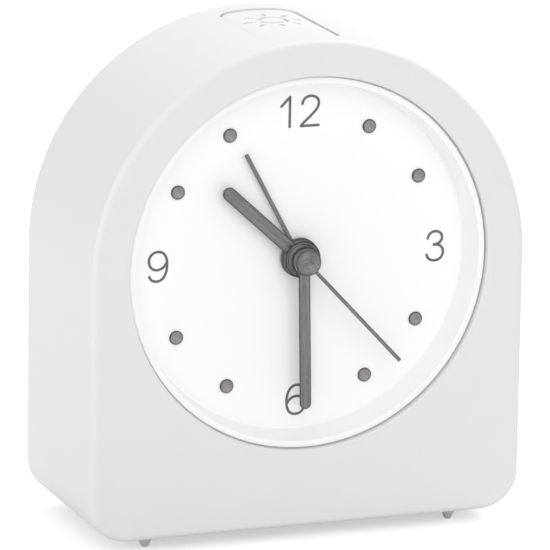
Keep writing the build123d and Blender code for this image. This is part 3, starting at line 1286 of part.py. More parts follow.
def rear_cover():
    cover = slab(arch_outline(CASE_WALL + COVER_PLAY), COVER_FRONT, COVER_BACK)
    cover += slab(tray_outline(TRAY_WALL), TRAY_FRONT - TRAY_WALL, COVER_FRONT)
    cover -= slab(tray_outline(0), TRAY_FRONT, COVER_BACK + CUT_OVERRUN)
    cover -= slab(tray_outline(DOOR_LAP), COVER_BACK - DOOR_THICKNESS, COVER_BACK + CUT_OVERRUN)
    for place in COVER_POST_PLACES:
        cover -= hole(place, COVER_SCREW[0] + RUN_CLEARANCE, COVER_FRONT, COVER_BACK)
    for place in (TIME_SET_PLACE, ALARM_SET_PLACE):
        cover -= hole(place, SET_ARBOR_RADIUS + ARBOR_HOLE_PLAY, COVER_FRONT, COVER_BACK)
    for place in sound_holes():
        cover -= hole(place, SOUND_HOLE_RADIUS, COVER_FRONT, COVER_BACK)
    side = TRAY_LENGTH / 2 + TRAY_WALL + CUT_OVERRUN
    cover -= beam(Pos(BATTERY_LEAD_DEPTH, BATTERY_LEAD_Z) * Circle(LEAD_RADIUS + LEAD_HOLE_PLAY), -side, side)
    slot = slide_outline(SLIDE_STEM + 2 * SLIDE_PLAY, SLIDE_STEM + 2 * SLIDE_PLAY, SLIDE_TRAVEL)
    return cover - slab(slot, COVER_FRONT - CUT_OVERRUN, COVER_BACK + CUT_OVERRUN)


def battery_door():
    door = slab(tray_outline(DOOR_LAP - DOOR_PLAY), COVER_BACK - DOOR_THICKNESS, COVER_BACK)
    door = fillet(door.edges().filter_by(Axis.Y), DOOR_CORNER)
    door += slab(tray_outline(-DOOR_PLAY), COVER_FRONT, COVER_BACK - DOOR_THICKNESS)
    middle = (TRAY_LOW + TRAY_HIGH) / 2
    for index in range(DOOR_GRIP_COUNT):
        z = middle + (index - (DOOR_GRIP_COUNT - 1) / 2) * DOOR_GRIP_PITCH
        door -= slab(Pos(0, z) * SlotOverall(DOOR_GRIP_LENGTH, DOOR_GRIP_WIDTH),
                     COVER_BACK - DOOR_GRIP_DEPTH, COVER_BACK + CUT_OVERRUN)
    return door


def aa_cell():
    body = beam(Pos(CELL_DEPTH, CELL_PLACE_Z) * Circle(CELL_RADIUS), CELL_LEFT, CELL_RIGHT)
    body = fillet(body.edges().filter_by(GeomType.CIRCLE), CELL_EDGE)
    return body + beam(Pos(CELL_DEPTH, CELL_PLACE_Z) * Circle(CELL_NUB_RADIUS), CELL_NUB_END, CELL_LEFT)


def contact_plate_outline():
    """A battery contact plate seen from its side."""
    return Pos(CELL_DEPTH, CELL_PLACE_Z) * Rectangle(CONTACT_PLATE_SIDE, CONTACT_PLATE_SIDE)


def battery_plate():
    return beam(contact_plate_outline(), -TRAY_LENGTH / 2, CELL_NUB_END)


def battery_spring():
    seat = TRAY_LENGTH / 2 - CONTACT_PLATE_THICKNESS
    start = CELL_RIGHT + CELL_SPRING_WIRE_RADIUS + CELL_SPRING_GAP
    end = seat - CELL_SPRING_WIRE_RADIUS / 2
    rise = end - start
    taper = math.degrees(math.atan2(CELL_SPRING_RADIUS - CELL_SPRING_TIP_RADIUS, rise))
    path = Helix(pitch=rise / CELL_SPRING_TURNS, height=rise, radius=CELL_SPRING_TIP_RADIUS, cone_angle=taper)
    plane = Plane(origin=(start, FRONT + CELL_DEPTH, AXIS_HEIGHT + CELL_PLACE_Z), x_dir=(0, 1, 0),
                  z_dir=(1, 0, 0))
    path = plane.location * path
    coil = sweep(Plane(path @ 0, z_dir=path % 0) * Circle(CELL_SPRING_WIRE_RADIUS), path=path)
    return coil + beam(contact_plate_outline(), seat, TRAY_LENGTH / 2)


def slide_switch():
    near = COVER_FRONT - SLIDE_BODY_DEPTH
    x, z = SLIDE_PLACE
    middle = x + SLIDE_TRAVEL / 2
    body = slab(Pos(middle, z) * Rectangle(SLIDE_BODY_WIDTH, SLIDE_BODY_HEIGHT), near, COVER_FRONT)
    pocket = slide_outline(SLIDE_STEM + 2 * SLIDE_PLAY, SLIDE_STEM + 2 * SLIDE_PLAY, SLIDE_TRAVEL)
    return body - slab(pocket, COVER_FRONT - SLIDE_POCKET_DEPTH, COVER_FRONT + CUT_OVERRUN)


def alarm_slider():
    stem = slide_outline(SLIDE_STEM, SLIDE_STEM, 0)
    near = COVER_FRONT - SLIDE_POCKET_DEPTH + SLIDE_PLAY
    pad_near = COVER_BACK + SLIDE_PLAY
    slider = slab(stem, near, pad_near)
    return slider + slab(slide_outline(SLIDE_PAD_WIDTH, SLIDE_PAD_HEIGHT, 0), pad_near,
                         pad_near + SLIDE_PAD_THICKNESS)


def sounder_cup():
    near = COVER_FRONT - SOUNDER_HEIGHT
    cup = drum(SOUNDER_PLACE, SOUNDER_RADIUS + SOUNDER_WALL, near, COVER_FRONT)
    cup -= drum(SOUNDER_PLACE, SOUNDER_RADIUS, COVER_FRONT - DISC_STEP - DISC_THICKNESS,
                COVER_FRONT + CUT_OVERRUN)
    for place in sounder_lead_places():
        cup -= hole(place, LEAD_RADIUS + LEAD_HOLE_PLAY, near, near + SOUNDER_WALL)
    return cup - drum(SOUNDER_PLACE, SOUNDER_RADIUS - SOUNDER_WALL, near + SOUNDER_WALL,
                      COVER_FRONT + CUT_OVERRUN)


def sounder_disc():
    back = COVER_FRONT - DISC_STEP
    return drum(SOUNDER_PLACE, SOUNDER_RADIUS - RUN_CLEARANCE, back - DISC_THICKNESS, back)


# Leads
def lead(*points):
    """A round lead along straight runs with rounded bends. A point is (x, depth, z)."""
    path = FilletPolyline(*[(x, FRONT + depth, AXIS_HEIGHT + z) for x, depth, z in points], radius=LEAD_BEND)
    return sweep(Plane(path @ 0, z_dir=path % 0) * Circle(LEAD_RADIUS), path=path)


def board_end(slot, x):
    """The last points of a lead, into the movement and onto the circuit board at a numbered slot."""
    z = LEAD_FIRST_Z + slot * LEAD_PITCH
    end = CIRCUIT_PLACE[0] + CIRCUIT_WIDTH / 2 - LEAD_END_INSET
    return [(x, LEAD_DEPTH, z), (end, LEAD_DEPTH, z), (end, CIRCUIT_FACE, z)]


def lead_run(slot, x, depth):
    """The last points of a lead that comes down beside the movement at a depth of its own."""
    return [(x, depth, LEAD_FIRST_Z + slot * LEAD_PITCH)] + board_end(slot, x)


def battery_leads():
    made = []
    for slot, side in enumerate((-1, 1)):
        start = side * TRAY_LENGTH / 2
        turn = start + side * (TRAY_WALL + BATTERY_LEAD_REACH)
        z = LEAD_CORRIDOR_Z - side * LEAD_PITCH / 2
        x = LEAD_RUN_X + slot * LEAD_PITCH
        made.append(lead(
            (start, BATTERY_LEAD_DEPTH, BATTERY_LEAD_Z),
            (turn, BATTERY_LEAD_DEPTH, BATTERY_LEAD_Z),
            (turn, BATTERY_LEAD_DEPTH, z),
            (x, BATTERY_LEAD_DEPTH, z),
            (x, LEAD_DEPTH, z),
            *board_end(slot, x),
        ))
    return Compound(children=made)


def button_leads():
    made = []
    board_z = SHELF_TOP + BOARD_THICKNESS / 2
    for pair in (0, 1):
        step = pair * LEAD_PITCH
        start = BUTTON_DEPTH + BUTTON_LEAD_SHIFT + step
        depth = CHASSIS_BACK + BUTTON_LEAD_BEHIND - step
        turn = BUTTON_BOARD_WIDTH / 2 + BUTTON_LEAD_REACH + step
        z = MOVEMENT_RISE + BUTTON_LEAD_RISE + step
        x = LEAD_RUN_X + 2 * LEAD_PITCH + step
        made.append(lead(
            (BUTTON_BOARD_WIDTH / 2, start, board_z),
            (turn, start, board_z),
            (turn, depth, board_z),
            (turn, depth, z),
            (x, depth, z),
            *lead_run(BUTTON_LEAD_SLOT + pair, x, depth),
        ))
    return Compound(children=made)


def lamp_leads():
    made = []
    for pair in (0, 1):
        step = pair * LEAD_PITCH
        front = CHASSIS_FRONT - LAMP_LEAD_SETBACK - step
        depth = CHASSIS_BACK + LAMP_LEAD_BEHIND + LEAD_PITCH - step
        turn = LAMP_LEAD_X + step
        z = MOVEMENT_RISE + LAMP_LEAD_RISE + step
        x = LEAD_RUN_X + step
        made.append(lead(
            (STRIP_WIDTH / 2, front, LAMP_LEAD_Z),
            (turn, front, LAMP_LEAD_Z),
            (turn, depth, LAMP_LEAD_Z),
            (turn, depth, z),
            (x, depth, z),
            *lead_run(LAMP_LEAD_SLOT + pair, x, depth),
        ))
    return Compound(children=made)


def sounder_lead_places():
    """The places of the two leads that end on the sounder's disc."""
    x, z = SOUNDER_PLACE
    return [(x + SOUNDER_LEAD_SHIFT + step, z + step) for step in (0, LEAD_PITCH)]


def sounder_leads():
    made = []
    depth = COVER_FRONT - SOUNDER_HEIGHT - SOUNDER_LEAD_AIR
    for pair, (start, z) in enumerate(sounder_lead_places()):
        x = LEAD_RUN_X + pair * LEAD_PITCH
        made.append(lead(
            (start, COVER_FRONT - DISC_STEP - DISC_THICKNESS, z),
            (start, depth, z),
            (x, depth, z),
            *lead_run(SOUNDER_LEAD_SLOT + pair, x, depth),
        ))
    return Compound(children=made)


# Screws
def screws(places, size, seat):
    """Slotted pan-head screws at several places, driven from behind, with their heads on a seat."""
    shank, length, head, height = size
    made = []
    for place in places:
        screw = drum(place, shank, seat - length, seat) + drum(place, head, seat, seat + height)
        screw = fillet(screw.edges().group_by(Axis.Y)[-1], height * SCREW_ROUND_SHARE)
        slot = Pos(*place) * Rectangle(2 * head, SCREW_SLOT_WIDTH)
        screw -= slab(slot, seat + height - SCREW_SLOT_DEPTH, seat + height + CUT_OVERRUN)
        made.append(screw)
    return Compound(children=made)


parts = {
    "front_case": front_case(),
    "feet": feet(),
    "lens": lens(),
    "dial_ring": dial_ring(),
    "dial": dial(),
    "dial_numbers": dial_numbers(),
    "dial_dots": dial_dots(),
    "chassis": chassis(),
    "snooze_button": snooze_button(),
    "button_springs": button_springs(),
    "button_board": button_board(),
    "push_switch": push_switch(),
    "switch_plunger": switch_plunger(),
    "light_strip": light_strip(),
    "night_lamps": night_lamps(),
    "movement_plate": movement_plate(),
    "movement_bridge": movement_bridge(),
    "movement_case": movement_case(),
    "circuit_board": circuit_board(),
    "control_chip": control_chip(),
    "quartz_crystal": quartz_crystal(),
    "alarm_contact": alarm_contact(),
    "stator": stator(),
    "coil_bobbin": coil_bobbin(),
    "coil_winding": coil_winding(),
    "rotor": rotor(),
    "intermediate_wheel": intermediate_wheel(),
    "second_wheel": second_wheel(),
    "third_wheel": third_wheel(),
    "centre_wheel": centre_wheel(),
    "minute_pipe": minute_pipe(),
    "minute_wheel": minute_wheel(),
    "hour_wheel": hour_wheel(),
    "alarm_wheel": alarm_wheel(),
    "time_set_arbor": time_set_arbor(),
    "alarm_set_arbor": alarm_set_arbor(),
    "time_knob": knob(TIME_SET_PLACE),
    "alarm_knob": knob(ALARM_SET_PLACE),
    "alarm_hand": alarm_hand(),
    "hour_hand": hour_hand(),
    "minute_hand": minute_hand(),
    "second_hand": second_hand(),
    "rear_cover": rear_cover(),
    "battery_door": battery_door(),
    "aa_cell": aa_cell(),
    "battery_plate": battery_plate(),
    "battery_spring": battery_spring(),
    "slide_switch": slide_switch(),
    "alarm_slider": alarm_slider(),
    "sounder_cup": sounder_cup(),
    "sounder_disc": sounder_disc(),
    "battery_leads": battery_leads(),
    "button_leads": button_leads(),
    "lamp_leads": lamp_leads(),
    "sounder_leads": sounder_leads(),
    "cover_screws": screws(COVER_POST_PLACES, COVER_SCREW, COVER_BACK),
    "chassis_screws": screws(CHASSIS_POST_PLACES, CHASSIS_SCREW, CHASSIS_BACK),
    "plate_screws": screws(EAR_PLACES, PLATE_SCREW, PLATE_BACK),
    "movement_screws": screws(COLUMN_PLACES, MOVEMENT_SCREW, MOVEMENT_BACK),
}

os.makedirs("parts", exist_ok=True)
for name, shape in parts.items():
    export_step(shape, f"parts/{name}.step")
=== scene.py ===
"""White arched alarm clock: its finishes, printed dial, hands and studio stage, built round the packed model."""

import math

import bpy
import numpy as np
from bpy.props import FloatProperty, FloatVectorProperty, IntProperty, PointerProperty
from mathutils import Matrix, Vector


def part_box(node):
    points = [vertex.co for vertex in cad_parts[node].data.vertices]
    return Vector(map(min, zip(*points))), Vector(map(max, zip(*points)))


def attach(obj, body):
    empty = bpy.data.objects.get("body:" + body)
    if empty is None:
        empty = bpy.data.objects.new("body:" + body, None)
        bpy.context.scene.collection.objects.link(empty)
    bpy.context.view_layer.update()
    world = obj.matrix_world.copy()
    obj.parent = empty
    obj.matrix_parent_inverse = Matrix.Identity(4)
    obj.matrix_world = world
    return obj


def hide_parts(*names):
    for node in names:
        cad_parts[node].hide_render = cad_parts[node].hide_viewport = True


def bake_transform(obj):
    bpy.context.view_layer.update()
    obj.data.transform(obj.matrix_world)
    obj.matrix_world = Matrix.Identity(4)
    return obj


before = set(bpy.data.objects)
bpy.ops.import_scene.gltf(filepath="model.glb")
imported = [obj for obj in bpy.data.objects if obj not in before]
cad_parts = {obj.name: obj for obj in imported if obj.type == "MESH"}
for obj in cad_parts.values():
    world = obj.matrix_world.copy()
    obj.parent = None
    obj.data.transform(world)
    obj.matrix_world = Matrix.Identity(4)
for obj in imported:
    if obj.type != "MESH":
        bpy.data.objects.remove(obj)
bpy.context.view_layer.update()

bl_info = {
    "name": "Arched alarm clock",
    "version": (1, 0, 0),
    "blender": (4, 5, 0),
    "location": "View3D > Sidebar > Clock",
    "description": "Finishes, dial print, hands and studio stage of an arched bedside alarm clock",
    "category": "Object",
}

# Strokes of the numbers: points of smooth curves across and up, as shares of the number's height
ONE = (((-0.665, 0.7), (-0.365, 1.0)), ((-0.365, 1.0), (-0.365, 0.0)))
TWO = (
    ((0.075, 0.75), (0.095, 0.9), (0.215, 1.0), (0.365, 1.0), (0.535, 1.0), (0.655, 0.9), (0.655, 0.76),
     (0.655, 0.58), (0.505, 0.46), (0.365, 0.32), (0.235, 0.2), (0.115, 0.12), (0.035, 0.0)),
    ((0.035, 0.0), (0.655, 0.0)),
)
THREE = (
    ((-0.265, 0.77), (-0.245, 0.91), (-0.135, 1.0), (0.0, 1.0), (0.145, 1.0), (0.25, 0.91), (0.25, 0.785),
     (0.25, 0.65), (0.135, 0.555), (-0.045, 0.545)),
    ((-0.045, 0.545), (0.155, 0.56), (0.295, 0.45), (0.295, 0.29), (0.295, 0.12), (0.165, 0.0), (-0.01, 0.0),
     (-0.165, 0.0), (-0.275, 0.09), (-0.295, 0.21)),
)
NINE = (
    ((-0.3, 0.17), (-0.26, 0.06), (-0.17, 0.0), (-0.045, 0.0), (0.16, 0.0), (0.315, 0.2), (0.315, 0.56),
     (0.315, 0.84), (0.2, 1.0), (-0.005, 1.0), (-0.19, 1.0), (-0.32, 0.865), (-0.32, 0.69),
     (-0.32, 0.51), (-0.2, 0.385), (-0.035, 0.385), (0.11, 0.385), (0.24, 0.48), (0.305, 0.64)),
)
SIX = tuple(tuple((-across, 1.0 - up) for across, up in stroke) for stroke in NINE)
NUMBERS = ((12, ONE + TWO), (3, THREE), (6, SIX), (9, NINE))
DOT_HOURS = (1, 2, 4, 5, 7, 8, 10, 11)
HANDS = (("alarm_hand", "alarm"), ("hour_hand", "hour"), ("minute_hand", "minute"), ("second_hand", "second"))
ROUND_TIPS = ("hour_hand", "minute_hand")
CAPPED_HAND = "second_hand"
FRONTWARD = np.array((0.0, -1.0, 0.0))
HOUR_DEGREES = 30.0

# Shares of a packed hand's reach from which its points count as tip, blade, full width and end
TIP_FROM, BLADE_FROM, WIDTH_FROM, END_FROM = 0.985, 0.6, 0.2, 0.96

# Steps of the surfaces
SECTION_STEPS, LINE_STEPS, ROUND_STEPS = 44, 14, 7
FACE_STEPS, SIDE_STEPS, BACK_STEPS = 70, 36, 8
HUB_STEPS, DOT_STEPS = 96, 64
BLADE_STEPS, TIP_STEPS = 40, 12
COIL_STEPS, WIRE_STEPS = 36, 14
FLOOR_RINGS, FLOOR_STEPS = 24, 64

# Shares that shape the pieces
SECTION_HARDNESS = 0.3  # exponent of a band's rounded-box section
INK_CROWN, INK_END = 0.2, 0.02  # crown of the ink's rise, and least width at a stroke's end
HUB_EDGE = 0.09  # round edge of a hub, of its thickness
SIDE_PITCH, SIDE_DEPTH = 0.8, 1.5  # rings of a hub's side, of those of its face
SIDE_RIM = 0.5  # rim value of a hub's side and back
SQUARE_TIP, SQUARE_CORNER = 0.25, 0.72  # length of a square tip and width of its end, of its half width
DOT_EDGE, DOT_PITCH, DOT_DEPTH = 0.45, 0.45, 0.06  # edge, ring pitch and ring depth of a dot
BRUSH_ALONG, BRUSH_TURNED = 0.03, 0.45  # stretch of the brush place along a blade and across turned rings
FLOOR_START = 0.02  # first ring of the floor

# Small sizes in metres
AXIS_GAP = 0.00002  # left open at the axis of a turned profile, or added to a bore
EDGE_LEAST = 0.00003  # added to the round edge of a hub
BLADE_START = 0.0003  # from the bore to a blade's root
TIP_LEAST = 0.00001  # half width that a round tip ends in
DOT_FOOT = 0.00003  # how far a dot goes into the dial
BRUSH_ROUND = 0.0002  # radius of the brush place's circle along turned rings
WIRE_PITCH, WEAVE_PITCH = 0.00018, 0.0006  # turns of the coil winding and threads of the circuit boards
NUB_LENGTH, FLAT_LENGTH = 0.0016, 0.0004  # bare ends of the battery cell

# Patterns
CLOUD_SCALE = 90.0  # of the noise that clouds the grain
TONE_SPAN = {"From Min": 0.3, "From Max": 0.7}  # tones of the grain that roughness is spread over
LINE_SPAN = {"From Min": 0.7, "From Max": 1.3}  # sums of fine and broad lines that make up their tone
BROAD_LINES, LINE_ROUGHNESS = 0.3, 0.6  # scale of the broad lines, of the fine ones, and roughness of these
RIM_SHADE_BREAKUP = 0.12  # how far the lines break up the painted rim shade
METAL_DARK, METAL_BRIGHT = 0.72, 1.36  # the two tones of the brushed metal, of its colour
WEAVE_SHARE = 0.35  # how much the threads show in the circuit boards
WHITE = (1, 1, 1, 1)

# Stage: lamps with their place, size and the setting of their power, and the camera's fixed values
LAMPS = (
    ("key_lamp", (-0.15, -0.95, 0.5), 1.2, "key"),
    ("side_lamp", (-0.85, 0.05, 0.25), 0.5, "side"),
    ("top_lamp", (0.55, 0.3, 0.85), 0.7, "fill"),
)
LAMP_TARGET = Vector((0, 0, 0.05))
SENSOR_WIDTH = 36.0  # in millimetres
CLIP_START, CLIP_END = 0.01, 20.0


# Sizes read from the packed model
def node_points(name):
    """All corner points of a packed node, as rows of x, y and z."""
    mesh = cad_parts[name].data
    points = np.empty(len(mesh.vertices) * 3, np.float32)
    mesh.vertices.foreach_get("co", points)
    return points.reshape(-1, 3).astype(float)


def axis_point():
    """The place where the axis of the hands meets the dial's front."""
    low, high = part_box("dial")
    return np.array(((low.x + high.x) / 2, low.y, (low.z + high.z) / 2))


def clock_direction(angle):
    """Unit vectors along and to the right of a clock angle: (sin a, 0, cos a) and (cos a, 0, -sin a)."""
    s, c = np.sin(angle), np.cos(angle)
    zero = np.zeros_like(s)
    return np.stack((s, zero, c), -1), np.stack((c, zero, -s), -1)


def hour_places(hours, radius):
    """Places on the dial's front at a radius from the axis, at the clock angles of some hours."""
    out, _ = clock_direction(np.radians([HOUR_DEGREES * hour for hour in hours]))
    return axis_point() + out * radius


def hand_measures(name):
    """Angle, blade and hub sizes of a packed hand, read from its points round the axis."""
    points = node_points(name) - axis_point()
    reach = np.hypot(points[:, 0], points[:, 2])
    tip = points[reach > TIP_FROM * reach.max()].mean(0)
    angle = math.atan2(tip[0], tip[2])
    along, across = clock_direction(np.array(angle))
    far = points @ along
    blade = points[far > BLADE_FROM * reach.max()]
    return {
        "angle": angle,
        "length": far.max(),
        "half_tip": np.abs(points[far > END_FROM * far.max()] @ across).max(),
        "half_root": np.abs(points[far > WIDTH_FROM * reach.max()] @ across).max(),
        "blade_front": blade[:, 1].min(),
        "blade_back": blade[:, 1].max(),
        "hub_radius": reach[far < 0].max(),
        "bore": reach.min(),
        "hub_front": points[:, 1].min(),
        "hub_back": points[:, 1].max(),
    }


def dot_measures():
    """Ring radius, dot radius and rise of the packed dots."""
    points = node_points("dial_dots") - axis_point()
    reach = np.hypot(points[:, 0], points[:, 2])
    return (reach.max() + reach.min()) / 2, (reach.max() - reach.min()) / 2, -points[:, 1].min()


DOT_RING, DOT_RADIUS, DOT_RISE = dot_measures()
NUMBER_RISE = axis_point()[1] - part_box("dial_numbers")[0].y


# Settings that a user would change
class ClockPrint(bpy.types.PropertyGroup):
    """Numbers and dots of the dial."""

    number_height: FloatProperty(
        name="Number height", description="Height of a number's middle line", default=0.0059, unit="LENGTH",
        precision=5)
    number_stroke: FloatProperty(
        name="Number stroke", description="Width of a number's line", default=0.00052, unit="LENGTH",
        precision=5)
    number_rise: FloatProperty(
        name="Ink rise", description="How far the ink stands in front of the dial", default=NUMBER_RISE,
        unit="LENGTH", precision=5)
    ring_radius: FloatProperty(
        name="Ring radius", description="Distance of numbers and dots from the axis", default=DOT_RING,
        unit="LENGTH", precision=5)
    dot_radius: FloatProperty(
        name="Dot radius", description="Radius of an hour dot", default=DOT_RADIUS, unit="LENGTH",
        precision=5)
    dot_rise: FloatProperty(
        name="Dot rise", description="How far a dot stands in front of the dial", default=DOT_RISE,
        unit="LENGTH", precision=5)
    ink: FloatVectorProperty(
        name="Ink", description="Colour of the numbers", subtype="COLOR", size=4, min=0, max=1,
        default=(0.12, 0.113, 0.113, 1))


class ClockHands(bpy.types.PropertyGroup):
    """Shape of the hands, and colours of the hands and the dots."""

    crown: FloatProperty(
        name="Crown", description="Rise of a blade's middle over its edges", default=0.00005, unit="LENGTH",
        precision=6)
    groove_pitch: FloatProperty(
        name="Turning pitch", description="Distance between the turned rings of a hub", default=0.00045,
        unit="LENGTH", precision=6)
    groove_depth: FloatProperty(
        name="Turning depth", description="Depth of the turned rings of a hub", default=0.0001, unit="LENGTH",
        precision=6)
    metal: FloatVectorProperty(
        name="Metal", description="Colour of the hands' brushed metal", subtype="COLOR", size=4, min=0, max=1,
        default=(0.148, 0.1435, 0.1435, 1))
    dot_metal: FloatVectorProperty(
        name="Dot metal", description="Colour of the hour dots", subtype="COLOR", size=4, min=0, max=1,
        default=(0.212, 0.205, 0.206, 1))
    # Painted shade: a darker colour laid along the rims of the blades, hub faces and dots, in place of their
    # shaded edges and side faces
    edge_shade_colour: FloatVectorProperty(
        name="Painted edge shade", description="Colour of the painted shade along the edges", subtype="COLOR", size=4, min=0,
        max=1, default=(0.05, 0.047, 0.048, 1))


class ClockFinishes(bpy.types.PropertyGroup):
    """Colours and grain of the mouldings, and the springs under the button."""

    case: FloatVectorProperty(
        name="Case", description="Satin white of the case", subtype="COLOR", size=4, min=0, max=1,
        default=(0.78, 0.78, 0.78, 1))
    case_deep: FloatVectorProperty(
        name="Case, deep", description="White in the hollows of the case's grain", subtype="COLOR", size=4,
        min=0, max=1, default=(0.745, 0.745, 0.75, 1))
    dial: FloatVectorProperty(
        name="Dial", description="Matt white of the dial", subtype="COLOR", size=4, min=0, max=1,
        default=(0.97, 0.97, 0.97, 1))
    ring: FloatVectorProperty(
        name="Dial ring", description="Smooth white of the ring round the dial", subtype="COLOR", size=4,
        min=0, max=1, default=(0.97, 0.97, 0.97, 1))
    foot: FloatVectorProperty(
        name="Feet", description="Pale rubber of the feet", subtype="COLOR", size=4, min=0, max=1,
        default=(0.62, 0.62, 0.61, 1))
    grain: FloatProperty(
        name="Grain size", description="Size of the satin grain of the case", default=0.0004, unit="LENGTH",
        precision=6)
    grain_depth: FloatProperty(
        name="Grain depth", description="Depth of the satin grain of the case", default=0.000012,
        unit="LENGTH", precision=7)
    spring_turns: IntProperty(
        name="Spring turns", description="Turns of each spring under the button", default=7, min=2)


class ClockStage(bpy.types.PropertyGroup):
    """Camera, floor and studio light."""

    azimuth: FloatProperty(
        name="Azimuth", description="Turn of the camera to the left of the front",
        default=math.radians(21.016), subtype="ANGLE")
    elevation: FloatProperty(
        name="Elevation", description="Height of the camera over the clock", default=math.radians(13.81),
        subtype="ANGLE")
    roll: FloatProperty(
        name="Roll", description="Turn of the camera about its view", default=math.radians(0.917),
        subtype="ANGLE")
    distance: FloatProperty(
        name="Distance", description="From the camera to the middle of the clock", default=1.14745,
        unit="LENGTH", precision=5)
    target: FloatVectorProperty(
        name="Target", description="Point that the camera looks at", precision=5,
        default=(0.0, 0.0045, 0.0526), subtype="TRANSLATION", unit="LENGTH")
    lens: FloatProperty(name="Lens", description="Focal length in millimetres", default=379.13)
    shift: FloatVectorProperty(
        name="Shift", description="Shift of the picture, as shares of its width", size=2,
        default=(0.01369, -0.04359))
    floor: FloatVectorProperty(
        name="Floor", description="Colour of the floor", subtype="COLOR", size=4, min=0, max=1,
        default=(0.8, 0.8, 0.8, 1))
    floor_lift: FloatProperty(
        name="Floor lift", description="White added to the floor where it is seen", default=0.45, min=0,
        max=1)
    floor_radius: FloatProperty(
        name="Floor radius", description="Radius of the round floor", default=4.0, unit="LENGTH")
    sky: FloatProperty(
        name="Surround light", description="Strength of the even light all round", default=0.6, min=0, max=1)
    key: FloatProperty(
        name="Key light", description="Power of the soft lamp in front of the clock", default=4.85,
        unit="POWER")
    side: FloatProperty(
        name="Side light", description="Power of the soft lamp at the left of the clock", default=1.75,
        unit="POWER")
    fill: FloatProperty(
        name="Top light", description="Power of the soft lamp over the clock", default=5.8, unit="POWER")


# Surfaces
class Surface:
    """Points, faces and per-point values of one or more closed surfaces."""

    def __init__(self, points, quads, triangles, lines, rim):
        self.points, self.quads, self.triangles = points, quads, triangles
        self.lines, self.rim = lines, rim

    def outward(self):
        """Turns all faces round where the signed volume, the sum of a.(b x c) / 6, is negative."""
        p = self.points
        three = np.concatenate((self.quads[:, (0, 1, 2)], self.quads[:, (0, 2, 3)], self.triangles))
        if np.einsum("ij,ij", p[three[:, 0]], np.cross(p[three[:, 1]], p[three[:, 2]])) < 0:
            self.quads, self.triangles = self.quads[:, ::-1], self.triangles[:, ::-1]
        return self


def closed_tube(rows, lines, rim):
    """Skins sections of equal count, each a closed loop, and closes both ends with a fan to the end's middle."""
    n, m = rows.shape[:2]
    place = np.arange(n * m).reshape(n, m)
    right = np.roll(place, -1, 1)
    quads = np.stack((place[:-1], right[:-1], right[1:], place[1:]), -1).reshape(-1, 4)
    first, last = np.full(m, n * m), np.full(m, n * m + 1)
    fans = np.concatenate((np.stack((first, right[0], place[0]), -1),
                           np.stack((last, place[-1], right[-1]), -1)))

    def with_ends(values):
        flat, ends = values.reshape(n * m, -1), values[[0, -1]].mean(1)
        return np.concatenate((flat, ends.reshape(2, -1)))

    return Surface(with_ends(rows), quads, fans, with_ends(lines), with_ends(rim)).outward()


def closed_ring(rows, lines, rim):
    """Skins a closed loop of closed sections, so that neither way has an end."""
    n, m = rows.shape[:2]
    place = np.arange(n * m).reshape(n, m)
    right, below = np.roll(place, -1, 1), np.roll(place, -1, 0)
    quads = np.stack((place, right, np.roll(right, -1, 0), below), -1).reshape(-1, 4)
    none = np.empty((0, 3), int)
    return Surface(rows.reshape(-1, 3), quads, none, lines.reshape(-1, 3), rim.reshape(-1, 1)).outward()


def joined(surfaces):
    """One surface from several."""
    starts = np.cumsum([0] + [len(s.points) for s in surfaces[:-1]])
    return Surface(
        np.concatenate([s.points for s in surfaces]),
        np.concatenate([s.quads + k for s, k in zip(surfaces, starts)]),
        np.concatenate([s.triangles + k for s, k in zip(surfaces, starts)]),
        np.concatenate([s.lines for s in surfaces]),
        np.concatenate([s.rim for s in surfaces]),
    )


def full_turn(steps):
    """Angles of a full turn in even steps, without its end."""
    return np.linspace(0, 2 * np.pi, steps, endpoint=False)


def quarter_turn(steps):
    """Angles of a quarter turn in even steps, without its start."""
    return np.linspace(0, np.pi / 2, steps)[1:]


def band_section():
    """A closed rounded-box section: across = sign(cos a)|cos a|^e and height = sign(sin a)|sin a|^e."""
    angle = full_turn(SECTION_STEPS)
    c, s = np.cos(angle), np.sin(angle)
    return np.sign(c) * np.abs(c) ** SECTION_HARDNESS, np.sign(s) * np.abs(s) ** SECTION_HARDNESS


def band(path, side, half_width, half_height, crown):
    """Carries a rounded-box section along a path: p + side * across * w + frontward * lift.

    The lift is height * h + crown * (1 - across^2). The crown lifts only the front half, in step with the width,
    so a round end falls away to its edge.
    """
    across, height = band_section()
    width = half_width[:, None] * across
    share = half_width[:, None] / half_width.max()
    lift = half_height * height + crown * share * (1 - across**2) * (height > 0)
    return path[:, None] + side[:, None] * width[..., None] + FRONTWARD * lift[..., None]


def smooth_line(points):
    """Samples a straight line, or cubic curves that share end points.

    A curve is (1-t)^3 a + 3(1-t)^2 t b + 3(1-t) t^2 c + t^3 d, for t from 0 to 1.
    """
    points = np.array(points)
    if len(points) == 2:
        return points[0] + np.linspace(0, 1, LINE_STEPS)[:, None] * (points[1] - points[0])
    t = np.linspace(0, 1, LINE_STEPS, endpoint=False)[:, None]
    weights = np.concatenate(((1 - t) ** 3, 3 * (1 - t) ** 2 * t, 3 * (1 - t) * t**2, t**3), 1)
    curves = np.stack((points[0:-1:3], points[1::3], points[2::3], points[3::3]), 1)
    return np.concatenate((np.einsum("tk,skd->std", weights, curves).reshape(-1, 2), points[-1:]))


